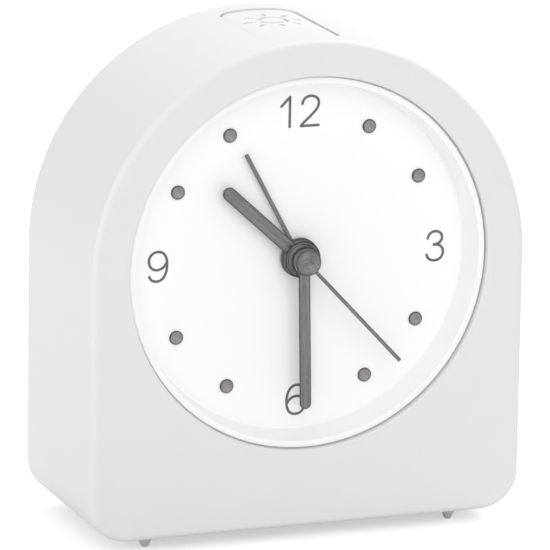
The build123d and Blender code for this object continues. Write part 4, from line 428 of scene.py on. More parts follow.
def ink_stroke(points, props, centre):
    """A number's stroke: a low rounded band along the smooth line, with a half-round end at each end."""
    line = smooth_line(points) * props.number_height - np.array((0, props.number_height / 2))
    along = np.gradient(line, axis=0)
    along /= np.linalg.norm(along, axis=1)[:, None]
    half, rise = props.number_stroke / 2, props.number_rise
    turn = quarter_turn(ROUND_STEPS)[:, None]
    start = line[0] - along[0] * half * np.sin(turn[::-1])
    end = line[-1] + along[-1] * half * np.sin(turn)
    flat = np.concatenate((start, line, end))
    along = np.concatenate((np.repeat(along[:1], len(turn), 0), along, np.repeat(along[-1:], len(turn), 0)))
    taper = np.cos(turn[:, 0])
    width = half * np.maximum(np.concatenate((taper[::-1], np.ones(len(line)), taper)), INK_END)
    zero = np.zeros(len(flat))
    path = centre + np.stack((flat[:, 0], zero, flat[:, 1]), 1)
    side = np.stack((along[:, 1], zero, -along[:, 0]), 1)
    rows = band(path, side, width, rise * (1 - INK_CROWN), rise * INK_CROWN)
    return closed_tube(rows, rows, np.zeros(rows.shape[:2] + (1,)))


def turned_rings(way, pitch, depth):
    """Depth of turned rings at a way s along a surface: depth / 2 * (1 - cos(2 pi s / pitch))."""
    return depth / 2 * (1 - np.cos(2 * np.pi * way / pitch))


def turned_face(inner, outer, rise, edge, pitch, depth):
    """Profile of a turned front face: a flat with rings, falling over a round edge at the rim."""
    r = np.linspace(inner, outer - edge, FACE_STEPS)
    turn = quarter_turn(ROUND_STEPS)
    rim = np.stack((outer - edge + edge * np.sin(turn), rise - edge + edge * np.cos(turn)), 1)
    return np.concatenate((np.stack((r, rise - turned_rings(r, pitch, depth)), 1), rim))


def turned_side(outer, high, pitch, depth):
    """Profile of a turned side: rings from a high rise down to none."""
    rise = np.linspace(high, 0.0, SIDE_STEPS)
    return np.stack((outer - turned_rings(high - rise, pitch, depth), rise), 1)


def turned_lines(profile, steps):
    """Brush place of a turned surface: a share of the way along the profile, and a small circle round the axis."""
    step = np.linalg.norm(np.diff(profile, axis=0, prepend=profile[:1]), axis=1)
    way = np.broadcast_to(BRUSH_TURNED * np.cumsum(step), (steps, len(profile)))
    angle = full_turn(steps)[:, None]
    circle = [np.broadcast_to(BRUSH_ROUND * wave(angle), way.shape) for wave in (np.cos, np.sin)]
    return np.stack((way, *circle), -1)


def turned_surface(profile, centre, steps, shade, solid):
    """Turns a profile of radius and forward rise about the hand axis: (r sin a, -rise, r cos a) for a full turn.

    A solid one is closed at the axis, and another is a ring round its bore. The shade is the rim value.
    """
    out, _ = clock_direction(full_turn(steps))
    rows = centre + out[:, None] * profile[None, :, :1] + FRONTWARD * profile[None, :, 1:]
    lines = turned_lines(profile, steps)
    rim = np.broadcast_to(shade[None, :, None], rows.shape[:2] + (1,))
    if solid:
        return closed_tube(*(values.swapaxes(0, 1) for values in (rows, lines, rim)))
    return closed_ring(rows, lines, rim)


def hub_surface(sizes, props, solid):
    """A hub, turned from a grooved face, a round edge, a grooved side and a flat back, with a bore or as a cap."""
    radius, thick = sizes["hub_radius"], sizes["hub_back"] - sizes["hub_front"]
    edge = HUB_EDGE * thick + EDGE_LEAST
    inner = AXIS_GAP if solid else sizes["bore"] + AXIS_GAP
    pitch, depth = props.groove_pitch, props.groove_depth
    face = turned_face(inner, radius, thick, edge, pitch, depth)
    side = turned_side(radius, thick - edge, pitch * SIDE_PITCH, depth * SIDE_DEPTH)[1:]
    back = np.stack((np.linspace(radius, inner, BACK_STEPS)[1:], np.zeros(BACK_STEPS - 1)), 1)
    profile = np.concatenate((face, side, back))
    # Rim values that place the painted shade at the edge of the hub's face; the side and back stay below it
    shade = np.clip((profile[:, 0] / radius) ** 2, 0, 1)
    shade[len(face):] = SIDE_RIM
    base = axis_point() + np.array((0, sizes["hub_back"], 0))
    return turned_surface(profile, base, HUB_STEPS, shade, solid)


def blade_surface(sizes, props, round_tip):
    """A blade along its clock angle: straight or tapered sides, then a half-round or a square tip.

    The rim value is the distance from the blade's middle line, or from the tip's centre, over the half width; it
    places the painted shade along the blade's edges.
    """
    along, across = clock_direction(np.array(sizes["angle"]))
    half_height = (sizes["blade_back"] - sizes["blade_front"]) / 2
    start, end = sizes["bore"] + BLADE_START, sizes["length"]
    turn = quarter_turn(TIP_STEPS)
    if round_tip:
        tip_half = tip = sizes["half_root"]
        corner = np.cos(turn)
    else:
        tip_half = sizes["half_tip"]
        tip = tip_half * SQUARE_TIP
        corner = SQUARE_CORNER + (1 - SQUARE_CORNER) * np.cos(turn)
    taper = np.linspace(sizes["half_root"], tip_half, BLADE_STEPS)
    reach = np.concatenate((np.linspace(start, end - tip, BLADE_STEPS), end - tip + tip * np.sin(turn)))
    width = np.concatenate((taper, np.maximum(tip_half * corner, TIP_LEAST)))
    middle = axis_point() + np.array((0, (sizes["blade_front"] + sizes["blade_back"]) / 2, 0))
    path = middle + reach[:, None] * along
    rows = band(path, np.broadcast_to(across, path.shape), width, half_height, props.crown)
    local = rows - middle
    x, y = local @ across, local @ along
    past = np.maximum(y - (end - tip), 0)
    reference = np.concatenate((taper, np.full(len(turn), tip_half)))[:, None]
    rim = np.clip(np.hypot(x, past) / reference, 0, 1)[..., None]
    return closed_tube(rows, np.stack((x, y * BRUSH_ALONG, np.zeros_like(x)), -1), rim)


def dot_surface(props, centre):
    """A low stud, turned from a flat top with faint rings, a round edge and a straight side into the dial."""
    radius, rise = props.dot_radius, props.dot_rise
    face = turned_face(AXIS_GAP, radius, rise, rise * DOT_EDGE, radius * DOT_PITCH, rise * DOT_DEPTH)
    foot = np.array(((radius, -DOT_FOOT), (AXIS_GAP, -DOT_FOOT)))
    profile = np.concatenate((face, foot))
    # The rim value, radius over the dot's radius, places the painted shade at the dot's edge
    return turned_surface(profile, centre, DOT_STEPS, profile[:, 0] / radius, True)


def coil_surface(points, turns):
    """A coil spring: a round wire along (R cos t, R sin t, rise t), its section square to the wire all the way.

    The axis, radius, wire and height are read from the points of the packed spring.
    """
    low, high = points.min(0), points.max(0)
    middle = (low + high) / 2
    reach = np.hypot(points[:, 0] - middle[0], points[:, 1] - middle[1])
    wire = (reach.max() - reach.min()) / 2
    radius = reach.max() - wire
    t = np.linspace(0, 2 * np.pi * turns, COIL_STEPS * turns + 1)
    rise = (high[2] - low[2] - 2 * wire) / t[-1]
    zero = np.zeros_like(t)
    out = np.stack((np.cos(t), np.sin(t), zero), -1)
    foot = np.array((middle[0], middle[1], low[2] + wire))
    line = foot + radius * out + np.stack((zero, zero, rise * t), -1)
    along = np.stack((-radius * np.sin(t), radius * np.cos(t), np.full_like(t, rise)), -1)
    over = np.cross(out, along / np.linalg.norm(along, axis=1)[:, None])
    turn = full_turn(WIRE_STEPS)[None, :, None]
    rows = line[:, None] + wire * (out[:, None] * np.cos(turn) + over[:, None] * np.sin(turn))
    return closed_tube(rows, rows, np.zeros(rows.shape[:2] + (1,)))


def add_piece(name, surface, material, body, replaced):
    """Makes a mesh object with its brush place and rim values, and lets it ride on a body, if one is given."""
    mesh = bpy.data.meshes.new(name)
    faces = surface.quads.tolist() + surface.triangles.tolist()
    mesh.from_pydata(surface.points.tolist(), [], faces)
    mesh.polygons.foreach_set("use_smooth", np.ones(len(faces), bool))
    brush_place = mesh.attributes.new("brush_place", "FLOAT_VECTOR", "POINT")
    brush_place.data.foreach_set("vector", surface.lines.astype(np.float32).ravel())
    rim = mesh.attributes.new("rim", "FLOAT", "POINT")
    rim.data.foreach_set("value", surface.rim.astype(np.float32).ravel())
    mesh.materials.append(material)
    if mesh.validate():
        raise RuntimeError(f"{name} has faces that are not valid")
    mesh.update()
    piece = bpy.data.objects.new(name, mesh)
    bpy.context.scene.collection.objects.link(piece)
    if body:
        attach(piece, body)
    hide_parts(replaced)
    return piece


# Nodes, and node groups shared by the finishes
def feed(tree, socket, value):
    """Links a node's input to another node's output, or sets it to a plain value."""
    if isinstance(value, bpy.types.NodeSocket):
        tree.links.new(value, socket)
    else:
        socket.default_value = value


def math_node(tree, operation, *values):
    """A math node fed by sockets or plain numbers; returns its result."""
    node = tree.nodes.new("ShaderNodeMath")
    node.operation = operation
    for socket, value in zip(node.inputs, values):
        feed(tree, socket, value)
    return node.outputs[0]


def noise_node(tree, vector, scale, detail, roughness=0.5):
    """A noise texture on a vector; returns its value."""
    node = tree.nodes.new("ShaderNodeTexNoise")
    values = {"Vector": vector, "Scale": scale, "Detail": detail, "Roughness": roughness}
    for label, value in values.items():
        feed(tree, node.inputs[label], value)
    return node.outputs["Fac"]


def map_node(tree, value, limits, interpolation="LINEAR"):
    """Spreads a value from one span to another, with limits for the node's own inputs; returns the result."""
    node = tree.nodes.new("ShaderNodeMapRange")
    node.interpolation_type = interpolation
    for label, limit in {"Value": value, **limits}.items():
        feed(tree, node.inputs[label], limit)
    return node.outputs[0]


def new_group(name, inputs, outputs):
    """An empty shader node group, and the sockets of its input and output nodes.

    An input without a value is a vector.
    """
    group = bpy.data.node_groups.new(name, "ShaderNodeTree")
    for label, value in inputs.items():
        kind = "NodeSocketVector" if value is None else "NodeSocketFloat"
        socket = group.interface.new_socket(name=label, in_out="INPUT", socket_type=kind)
        if value is not None:
            socket.default_value = value
    for label in outputs:
        group.interface.new_socket(name=label, in_out="OUTPUT", socket_type="NodeSocketFloat")
    return group, group.nodes.new("NodeGroupInput").outputs, group.nodes.new("NodeGroupOutput").inputs


def moulded_grain():
    """Grain of a moulded or painted surface: fine bumps, and a tone that mixes them with slow clouding."""
    group, given, result = new_group("Moulded grain", {"Vector": None, "Size": 0.0004, "Clouding": 0.3},
                                     ("Tone", "Height"))
    fine = noise_node(group, given["Vector"], math_node(group, "DIVIDE", 1.0, given["Size"]), detail=2.0)
    cloud = noise_node(group, given["Vector"], CLOUD_SCALE, detail=3.0)
    mix = group.nodes.new("ShaderNodeMix")
    for index, value in ((0, given["Clouding"]), (2, fine), (3, cloud)):
        group.links.new(value, mix.inputs[index])
    group.links.new(mix.outputs[0], result["Tone"])
    group.links.new(fine, result["Height"])
    return group


def brushed_lines():
    """Fine lines across the x of a brush place: noise that changes fast across and slowly along."""
    group, given, result = new_group("Brushed lines", {"Vector": None, "Line": 0.00012}, ("Tone", "Height"))
    scale = math_node(group, "DIVIDE", 1.0, given["Line"])
    fine = noise_node(group, given["Vector"], scale, detail=3.0, roughness=LINE_ROUGHNESS)
    broad = noise_node(group, given["Vector"], math_node(group, "MULTIPLY", scale, BROAD_LINES), detail=1.0)
    tone = map_node(group, math_node(group, "ADD", fine, broad), LINE_SPAN)
    group.links.new(tone, result["Tone"])
    group.links.new(fine, result["Height"])
    return group


def rim_shade():
    """A mask of painted shade that is 0 over a piece and rises to 1 at its rim, broken up a little by the grain.
    """
    group, given, result = new_group("Rim shade", {"Rim": 0.0, "Start": 0.8, "Grain": 0.5}, ("Mask",))
    shade_breakup = math_node(group, "MULTIPLY", math_node(group, "SUBTRACT", given["Grain"], 0.5), RIM_SHADE_BREAKUP)
    broken_shade = math_node(group, "ADD", given["Rim"], shade_breakup)
    group.links.new(map_node(group, broken_shade, {"From Min": given["Start"]}, "SMOOTHSTEP"), result["Mask"])
    return group


# Materials
def toned(colour, share):
    """A colour times a share, with full alpha."""
    return tuple(share * c for c in colour[:3]) + (1,)


class Finish:
    """One material under construction: its tree, its Principled shader and small ways to wire them."""

    def __init__(self, name):
        self.material = bpy.data.materials.new(name)
        self.material.use_nodes = True
        self.tree = self.material.node_tree
        self.tree.nodes.clear()
        self.shader = self.tree.nodes.new("ShaderNodeBsdfPrincipled")
        self.output = self.tree.nodes.new("ShaderNodeOutputMaterial")
        self.tree.links.new(self.shader.outputs[0], self.output.inputs["Surface"])

    def set(self, **values):
        """Sets plain values on the shader's own sockets."""
        for label, value in values.items():
            self.shader.inputs[label.replace("_", " ").title().replace("Ior", "IOR")].default_value = value
        return self

    def link(self, socket, label):
        """Links a socket to one of the shader's own."""
        self.tree.links.new(socket, self.shader.inputs[label])

    def math(self, operation, *values):
        """A math node of this material."""
        return math_node(self.tree, operation, *values)

    def object_place(self, scale=None):
        """Object coordinates, stretched where the pattern needs it."""
        place = self.tree.nodes.new("ShaderNodeTexCoord").outputs["Object"]
        if scale is None:
            return place
        mapping = self.tree.nodes.new("ShaderNodeMapping")
        mapping.inputs["Scale"].default_value = scale
        self.tree.links.new(place, mapping.inputs["Vector"])
        return mapping.outputs[0]

    def split(self, place):
        """The x, y and z of a place."""
        node = self.tree.nodes.new("ShaderNodeSeparateXYZ")
        self.tree.links.new(place, node.inputs[0])
        return node.outputs

    def wave(self, way, pitch):
        """A sine of a way in metres that comes back after each pitch."""
        return self.math("SINE", self.math("MULTIPLY", way, 2 * math.pi / pitch))

    def attribute(self, name, output):
        """A value that the piece's mesh carries."""
        node = self.tree.nodes.new("ShaderNodeAttribute")
        node.attribute_name = name
        return node.outputs[output]

    def group(self, name, build, **inputs):
        """Places a shared node group, built the first time, and feeds its inputs with sockets or plain values."""
        node = self.tree.nodes.new("ShaderNodeGroup")
        node.node_tree = bpy.data.node_groups.get(name) or build()
        for label, value in inputs.items():
            feed(self.tree, node.inputs[label], value)
        return node.outputs

    def grain(self, place, size, clouding):
        """Places the shared moulded grain."""
        return self.group("Moulded grain", moulded_grain, Vector=place, Size=size, Clouding=clouding)

    def mix(self, factor, first, second):
        """Mixes two colours, each a socket or a plain colour."""
        node = self.tree.nodes.new("ShaderNodeMix")
        node.data_type = "RGBA"
        for index, value in ((0, factor), (6, first), (7, second)):
            feed(self.tree, node.inputs[index], value)
        return node.outputs[2]

    def colour(self, socket):
        """Colours the surface."""
        self.link(socket, "Base Color")

    def roughness(self, tone, low, high):
        """Spreads a tone from a low to a high roughness."""
        self.link(map_node(self.tree, tone, {**TONE_SPAN, "To Min": low, "To Max": high}), "Roughness")

    def bump(self, height, depth):
        """Raises the surface by a height of 0 to 1 times a depth in metres."""
        node = self.tree.nodes.new("ShaderNodeBump")
        node.inputs["Distance"].default_value = depth
        node.inputs["Strength"].default_value = 1.0
        self.tree.links.new(height, node.inputs["Height"])
        self.link(node.outputs[0], "Normal")


def grained(name, light, deep, size, depth, rough, clouding=0.3, stretch=None, **values):
    """A finish with grain: two close colours mixed by its tone, roughness by the tone, bumps by its height."""
    finish = Finish(name).set(**values)
    grain = finish.grain(finish.object_place(stretch), size, clouding)
    finish.colour(finish.mix(grain["Tone"], deep, light))
    finish.roughness(grain["Tone"], *rough)
    finish.bump(grain["Height"], depth)
    return finish.material


def brushed_metal(name, metal, edge, rough):
    """Dark brushed metal of hands and dots: fine lines along the brush place, and painted shade darkening the rim.
    """
    finish = Finish(name).set(metallic=0.9)
    lines = finish.group("Brushed lines", brushed_lines, Vector=finish.attribute("brush_place", "Vector"),
                         Line=0.00016)
    rim = finish.group("Rim shade", rim_shade, Rim=finish.attribute("rim", "Fac"), Start=0.72,
                       Grain=lines["Tone"])
    body = finish.mix(lines["Tone"], toned(metal, METAL_DARK), toned(metal, METAL_BRIGHT))
    # Painted shade: the rim mask mixes the metal towards the darker edge colour
    finish.colour(finish.mix(rim["Mask"], body, edge))
    finish.roughness(lines["Tone"], *rough)
    finish.bump(lines["Height"], depth=0.00001)
    return finish.material


def clear_lens():
    """Clear lens: see-through with a polished outer skin whose share follows the viewing angle."""
    finish = Finish("clear_lens").set(base_color=WHITE, metallic=1.0)
    grain = finish.grain(finish.object_place(), size=0.004, clouding=0.5)
    finish.roughness(grain["Tone"], low=0.02, high=0.05)
    finish.bump(grain["Height"], depth=0.000002)
    nodes, links = finish.tree.nodes, finish.tree.links
    clear, blend = nodes.new("ShaderNodeBsdfTransparent"), nodes.new("ShaderNodeMixShader")
    share = nodes.new("ShaderNodeFresnel")
    share.inputs["IOR"].default_value = 1.25
    inner = nodes.new("ShaderNodeNewGeometry").outputs["Backfacing"]
    outer = finish.math("SUBTRACT", share.outputs[0], inner)
    outer.node.use_clamp = True
    for index, socket in enumerate((outer, clear.outputs[0], finish.shader.outputs[0])):
        links.new(socket, blend.inputs[index])
    links.new(blend.outputs[0], finish.output.inputs["Surface"])
    return finish.material


def wound_wire():
    """Enamelled winding: turns along the bobbin's upright axis, as a sine of the height, over a coppery tone, with
    painted shade darkening the copper between the turns.
    """
    finish = Finish("copper_wire").set(metallic=0.8)
    place = finish.object_place()
    grain = finish.grain(place, size=0.0003, clouding=0.4)
    turns = finish.math("MULTIPLY_ADD", finish.wave(finish.split(place)["Z"], WIRE_PITCH), 0.5, 0.5)
    # Painted shade: the copper is darker where the sine is low, between the turns
    finish.colour(finish.mix(turns, (0.22, 0.06, 0.025, 1), (0.62, 0.26, 0.11, 1)))
    finish.roughness(grain["Tone"], low=0.25, high=0.4)
    finish.bump(turns, depth=0.00006)
    return finish.material


def cell_wrap():
    """Battery cell: a plain dark wrap, with bare bright metal at the nub and at the flat end."""
    low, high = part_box("aa_cell")
    finish = Finish("cell_wrap")
    place = finish.object_place()
    grain = finish.grain(place, size=0.0006, clouding=0.6)
    way = finish.split(place)["X"]
    bare = finish.math("MAXIMUM", finish.math("LESS_THAN", way, low.x + NUB_LENGTH),
                       finish.math("GREATER_THAN", way, high.x - FLAT_LENGTH))
    wrap = finish.mix(grain["Tone"], (0.035, 0.065, 0.16, 1), (0.05, 0.09, 0.2, 1))
    metal = finish.mix(grain["Tone"], (0.5, 0.5, 0.5, 1), (0.68, 0.68, 0.69, 1))
    finish.colour(finish.mix(bare, wrap, metal))
    finish.link(bare, "Metallic")
    finish.roughness(grain["Tone"], low=0.25, high=0.38)
    finish.bump(grain["Height"], depth=0.000006)
    return finish.material


def circuit_board():
    """Green laminate: a woven ground of two crossed sines under the lacquer, with slow clouding."""
    finish = Finish("board_green")
    place = finish.object_place()
    grain = finish.grain(place, size=0.0005, clouding=0.5)
    axes = finish.split(place)
    cross = finish.math("MULTIPLY", finish.wave(axes["X"], WEAVE_PITCH), finish.wave(axes["Z"], WEAVE_PITCH))
    weave = finish.math("MULTIPLY_ADD", cross, 0.5, 0.5)
    ground = finish.mix(grain["Tone"], (0.02, 0.11, 0.045, 1), (0.05, 0.2, 0.085, 1))
    finish.colour(finish.mix(finish.math("MULTIPLY", weave, WEAVE_SHARE), ground, (0.07, 0.24, 0.1, 1)))
    finish.roughness(grain["Tone"], low=0.3, high=0.45)
    finish.bump(weave, depth=0.00001)
    return finish.material


def finish_nodes(material, *names):
    """Gives packed nodes a finish."""
    for name in names:
        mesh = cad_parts[name].data
        if not len(mesh.materials):
            mesh.materials.append(material)
        for index in range(len(mesh.materials)):
            mesh.materials[index] = material


# Operators
class CLOCK_OT_mouldings(bpy.types.Operator):
    """Gives the case, rear cover, button, knobs and battery door their satin white moulding"""

    bl_idname = "clock.mouldings"
    bl_label = "White mouldings"

    def execute(self, context):
        f = context.scene.clock_finishes
        white = grained("case_white", f.case, f.case_deep, f.grain, f.grain_depth, rough=(0.42, 0.58),
                        clouding=0.35, specular_ior_level=0.4)
        finish_nodes(white, "front_case", "rear_cover", "snooze_button", "time_knob", "alarm_knob", "battery_door")
        return {"FINISHED"}


class CLOCK_OT_dial(bpy.types.Operator):
    """Gives the dial its matt paint and the ring round it its smooth white"""

    bl_idname = "clock.dial"
    bl_label = "Dial and ring"

    def execute(self, context):
        f = context.scene.clock_finishes
        paint = grained("dial_white", f.dial, toned(f.dial, 0.985), size=0.0002, depth=0.000003,
                        rough=(0.5, 0.62), clouding=0.4)
        smooth = grained("trim_white", f.ring, toned(f.ring, 0.98), size=0.0005, depth=0.000003,
                         rough=(0.26, 0.36), clouding=0.5)
        finish_nodes(paint, "dial")
        finish_nodes(smooth, "dial_ring")
        return {"FINISHED"}


class CLOCK_OT_lens(bpy.types.Operator):
    """Gives the lens its clear polish"""

    bl_idname = "clock.lens"
    bl_label = "Lens"

    def execute(self, context):
        finish_nodes(clear_lens(), "lens")
        return {"FINISHED"}


class CLOCK_OT_numbers(bpy.types.Operator):
    """Prints the numbers on the dial as low bands of ink"""

    bl_idname = "clock.numbers"
    bl_label = "Dial numbers"

    def execute(self, context):
        props = context.scene.clock_print
        centres = hour_places([hour for hour, _ in NUMBERS], props.ring_radius)
        strokes = [ink_stroke(points, props, centre)
                   for centre, (_, number) in zip(centres, NUMBERS) for points in number]
        ink = grained("print_grey", props.ink, toned(props.ink, 0.7), size=0.00015, depth=0.000004,
                      rough=(0.4, 0.55), clouding=0.2)
        add_piece("printed_numbers", joined(strokes), ink, "case", "dial_numbers")
        return {"FINISHED"}


class CLOCK_OT_hands(bpy.types.Operator):
    """Makes the four hands with their turned hubs, and the hour dots of the same brushed metal"""

    bl_idname = "clock.hands"
    bl_label = "Hands and hour dots"

    def execute(self, context):
        props, marks = context.scene.clock_hands, context.scene.clock_print
        metal = brushed_metal("hand_grey", props.metal, props.edge_shade_colour, rough=(0.24, 0.4))
        for node, body in HANDS:
            sizes = hand_measures(node)
            blade = blade_surface(sizes, props, node in ROUND_TIPS)
            hub = hub_surface(sizes, props, node == CAPPED_HAND)
            add_piece("brushed_" + node, joined([blade, hub]), metal, body, node)
        dots = [dot_surface(marks, place) for place in hour_places(DOT_HOURS, marks.ring_radius)]
        stud = brushed_metal("dot_grey", props.dot_metal, props.edge_shade_colour, rough=(0.36, 0.48))
        add_piece("hour_dots", joined(dots), stud, "case", "dial_dots")
        return {"FINISHED"}


class CLOCK_OT_feet(bpy.types.Operator):
    """Gives the feet their pale rubber"""

    bl_idname = "clock.feet"
    bl_label = "Feet"

    def execute(self, context):
        foot = context.scene.clock_finishes.foot
        rubber = grained("foot_rubber", foot, toned(foot, 0.9), size=0.0003, depth=0.000015, rough=(0.6, 0.75))
        finish_nodes(rubber, "feet")
        return {"FINISHED"}


class CLOCK_OT_movement(bpy.types.Operator):
    """Gives the movement, chassis, motor, wheels and arbors their plastics and metals"""

    bl_idname = "clock.movement"
    bl_label = "Movement"

    def execute(self, context):
        grey = grained("inner_plastic", light=(0.58, 0.59, 0.6, 1), deep=(0.5, 0.51, 0.52, 1),
                       size=0.0005, depth=0.00001, rough=(0.4, 0.55))
        black = grained("black_plastic", light=(0.035, 0.035, 0.037, 1), deep=(0.024, 0.024, 0.026, 1),
                        size=0.0004, depth=0.000015, rough=(0.42, 0.6))
        cream = grained("gear_plastic", light=(0.8, 0.76, 0.64, 1), deep=(0.74, 0.69, 0.56, 1),
                        size=0.0008, depth=0.000004, rough=(0.24, 0.36), clouding=0.6)
        steel = grained("steel", light=(0.6, 0.6, 0.61, 1), deep=(0.48, 0.48, 0.49, 1),
                        size=0.0002, depth=0.000004, rough=(0.24, 0.38), stretch=(1, 1, 0.15), metallic=1.0)
        finish_nodes(grey, "chassis", "movement_bridge", "coil_bobbin", "switch_plunger")
        finish_nodes(black, "movement_plate", "movement_case", "push_switch", "control_chip", "slide_switch",
                     "alarm_slider", "sounder_cup")
        finish_nodes(cream, "rotor", "intermediate_wheel", "second_wheel", "third_wheel", "centre_wheel",
                     "minute_pipe", "minute_wheel", "hour_wheel", "alarm_wheel", "time_set_arbor",
                     "alarm_set_arbor")
        finish_nodes(steel, "stator", "quartz_crystal", "battery_plate", "battery_spring", "cover_screws",
                     "chassis_screws", "plate_screws", "movement_screws")
        finish_nodes(wound_wire(), "coil_winding")
        return {"FINISHED"}


class CLOCK_OT_springs(bpy.types.Operator):
    """Makes the two coil springs under the button"""

    bl_idname = "clock.springs"
    bl_label = "Button springs"

    def execute(self, context):
        points = node_points("button_springs")
        low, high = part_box("button_springs")
        middle = (low + high) / 2
        rear = points[:, 1] > middle.y
        turns = context.scene.clock_finishes.spring_turns
        coils = joined([coil_surface(points[side], turns) for side in (~rear, rear)])
        piece = add_piece("button_coils", coils, bpy.data.materials["steel"], None, "button_springs")
        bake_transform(piece)
        return {"FINISHED"}


class CLOCK_OT_circuits(bpy.types.Operator):
    """Gives the boards, lamps, leads, sounder and battery cell their finishes"""

    bl_idname = "clock.circuits"
    bl_label = "Circuits and battery"

    def execute(self, context):
        brass = grained("brass", light=(0.72, 0.53, 0.24, 1), deep=(0.58, 0.41, 0.16, 1),
                        size=0.0003, depth=0.000004, rough=(0.25, 0.4), clouding=0.4, metallic=1.0)
        red = grained("lead_red", light=(0.38, 0.025, 0.022, 1), deep=(0.3, 0.015, 0.015, 1),
                      size=0.0004, depth=0.00001, rough=(0.4, 0.52))
        lamp = grained("lamp_yellow", light=(0.87, 0.77, 0.42, 1), deep=(0.8, 0.66, 0.3, 1),
                       size=0.0003, depth=0.000004, rough=(0.2, 0.3), clouding=0.2)
        finish_nodes(circuit_board(), "circuit_board", "button_board", "light_strip")
        finish_nodes(brass, "alarm_contact", "sounder_disc")
        finish_nodes(red, "battery_leads", "button_leads", "lamp_leads", "sounder_leads")
        finish_nodes(lamp, "night_lamps")
        finish_nodes(cell_wrap(), "aa_cell")
        return {"FINISHED"}


# Stage
def seen_rays(tree):
    """1 for rays from the camera, and for those that go on through glass or off a glossy surface."""
    path = tree.nodes.new("ShaderNodeLightPath").outputs
    sent = math_node(tree, "MAXIMUM", path["Is Transmission Ray"], path["Is Glossy Ray"])
    return math_node(tree, "MAXIMUM", path["Is Camera Ray"], sent)


def floor_finish(props):
    """Pale matt floor with slow clouding, lifted towards white where it is seen, so that its shadow stays."""
    finish = Finish("studio_floor").set(specular_ior_level=0.0, emission_color=WHITE)
    grain = finish.grain(finish.object_place(), size=0.01, clouding=0.8)
    finish.colour(finish.mix(grain["Tone"], toned(props.floor, 0.985), props.floor))
    finish.roughness(grain["Tone"], low=0.8, high=0.9)
    finish.link(finish.math("MULTIPLY", seen_rays(finish.tree), props.floor_lift), "Emission Strength")
    return finish.material


def floor_piece(props):
    """A round flat floor: (r cos a, r sin a, 0) on rings whose radius grows as the square of their number."""
    rings = props.floor_radius * np.linspace(FLOOR_START, 1, FLOOR_RINGS) ** 2
    angle = full_turn(FLOOR_STEPS)
    x, y = rings[:, None] * np.cos(angle), rings[:, None] * np.sin(angle)
    points = np.concatenate((np.stack((x, y, np.zeros_like(x)), -1).reshape(-1, 3), np.zeros((1, 3))))
    place = np.arange(x.size).reshape(x.shape)
    right = np.roll(place, -1, 1)
    quads = np.stack((place[:-1], place[1:], right[1:], right[:-1]), -1).reshape(-1, 4)
    fan = np.stack((np.full(FLOOR_STEPS, x.size), place[0], right[0]), -1)
    mesh = bpy.data.meshes.new("floor")
    mesh.from_pydata(points.tolist(), [], quads.tolist() + fan.tolist())
    mesh.materials.append(floor_finish(props))
    floor = bpy.data.objects.new("floor", mesh)
    bpy.context.scene.collection.objects.link(floor)


def surround(scene, strength):
    """An even white world of a given strength, which is plain white where it is seen."""
    world = scene.world = bpy.data.worlds.new("surround")
    world.use_nodes = True
    tree = world.node_tree
    sky = tree.nodes["Background"].inputs
    sky["Color"].default_value = WHITE
    tree.links.new(math_node(tree, "MULTIPLY_ADD", seen_rays(tree), 1.0 - strength, strength), sky["Strength"])


def soft_lamp(scene, name, place, size, power):
    """A square area lamp that faces the clock."""
    lamp = bpy.data.lights.new(name, "AREA")
    lamp.shape, lamp.size, lamp.energy = "SQUARE", size, power
    light = bpy.data.objects.new(name, lamp)
    scene.collection.objects.link(light)
    light.location = place
    light.rotation_euler = (LAMP_TARGET - Vector(place)).to_track_quat("-Z", "Y").to_euler()


def photo_camera(scene, p):
    """A camera at an azimuth, elevation and distance from its target, turned about its view by the roll."""
    az, el = -p.azimuth, p.elevation
    back = Vector((math.sin(az) * math.cos(el), -math.cos(az) * math.cos(el), math.sin(el)))
    level = Vector((math.cos(az), math.sin(az), 0))
    upright = back.cross(level)
    right = math.cos(p.roll) * level + math.sin(p.roll) * upright
    up = math.cos(p.roll) * upright - math.sin(p.roll) * level
    turn = Matrix((right, up, back)).transposed().to_4x4()
    lens = bpy.data.cameras.new("camera")
    lens.sensor_width, lens.lens = SENSOR_WIDTH, p.lens
    lens.shift_x, lens.shift_y = p.shift
    lens.clip_start, lens.clip_end = CLIP_START, CLIP_END
    camera = bpy.data.objects.new("camera", lens)
    scene.collection.objects.link(camera)
    camera.matrix_world = Matrix.Translation(Vector(p.target) + back * p.distance) @ turn
    scene.camera = camera


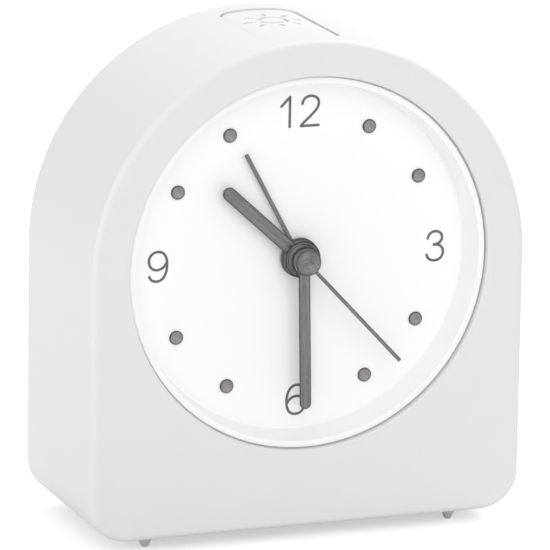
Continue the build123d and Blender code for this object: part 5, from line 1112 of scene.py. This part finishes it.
class CLOCK_OT_stage(bpy.types.Operator):
    """Sets the pale floor, the even surround, three soft lamps and the camera"""

    bl_idname = "clock.stage"
    bl_label = "Stage"

    def execute(self, context):
        scene, p = context.scene, context.scene.clock_stage
        scene.view_settings.view_transform = "Standard"
        floor_piece(p)
        surround(scene, p.sky)
        for name, place, size, setting in LAMPS:
            soft_lamp(scene, name, place, size, getattr(p, setting))
        photo_camera(scene, p)
        return {"FINISHED"}


OPERATORS = (CLOCK_OT_mouldings, CLOCK_OT_dial, CLOCK_OT_lens, CLOCK_OT_numbers, CLOCK_OT_hands, CLOCK_OT_feet,
             CLOCK_OT_movement, CLOCK_OT_springs, CLOCK_OT_circuits, CLOCK_OT_stage)
SETTINGS = {"clock_print": ClockPrint, "clock_hands": ClockHands, "clock_finishes": ClockFinishes,
            "clock_stage": ClockStage}


class VIEW3D_PT_clock(bpy.types.Panel):
    """Lists the clock's settings and the operators that use them"""

    bl_label = "Arched alarm clock"
    bl_space_type = "VIEW_3D"
    bl_region_type = "UI"
    bl_category = "Clock"

    def draw(self, context):
        for attribute, group in SETTINGS.items():
            box = self.layout.box()
            box.label(text=group.__doc__)
            for name in group.__annotations__:
                box.prop(getattr(context.scene, attribute), name)
        for operator in OPERATORS:
            self.layout.operator(operator.bl_idname)


CLASSES = (*SETTINGS.values(), *OPERATORS, VIEW3D_PT_clock)


def register():
    """Registers the classes and hangs the settings on the scene."""
    for cls in CLASSES:
        bpy.utils.register_class(cls)
    for attribute, group in SETTINGS.items():
        setattr(bpy.types.Scene, attribute, PointerProperty(type=group))


def unregister():
    """Takes the settings off the scene and removes the classes."""
    for attribute in SETTINGS:
        delattr(bpy.types.Scene, attribute)
    for cls in reversed(CLASSES):
        bpy.utils.unregister_class(cls)


def main():
    """Registers the add-on and makes the clock in order."""
    register()
    bpy.ops.clock.mouldings()
    bpy.ops.clock.dial()
    bpy.ops.clock.lens()
    bpy.ops.clock.numbers()
    bpy.ops.clock.hands()
    bpy.ops.clock.feet()
    bpy.ops.clock.movement()
    bpy.ops.clock.springs()
    bpy.ops.clock.circuits()
    bpy.ops.clock.stage()


if __name__ == "__main__":
    main()
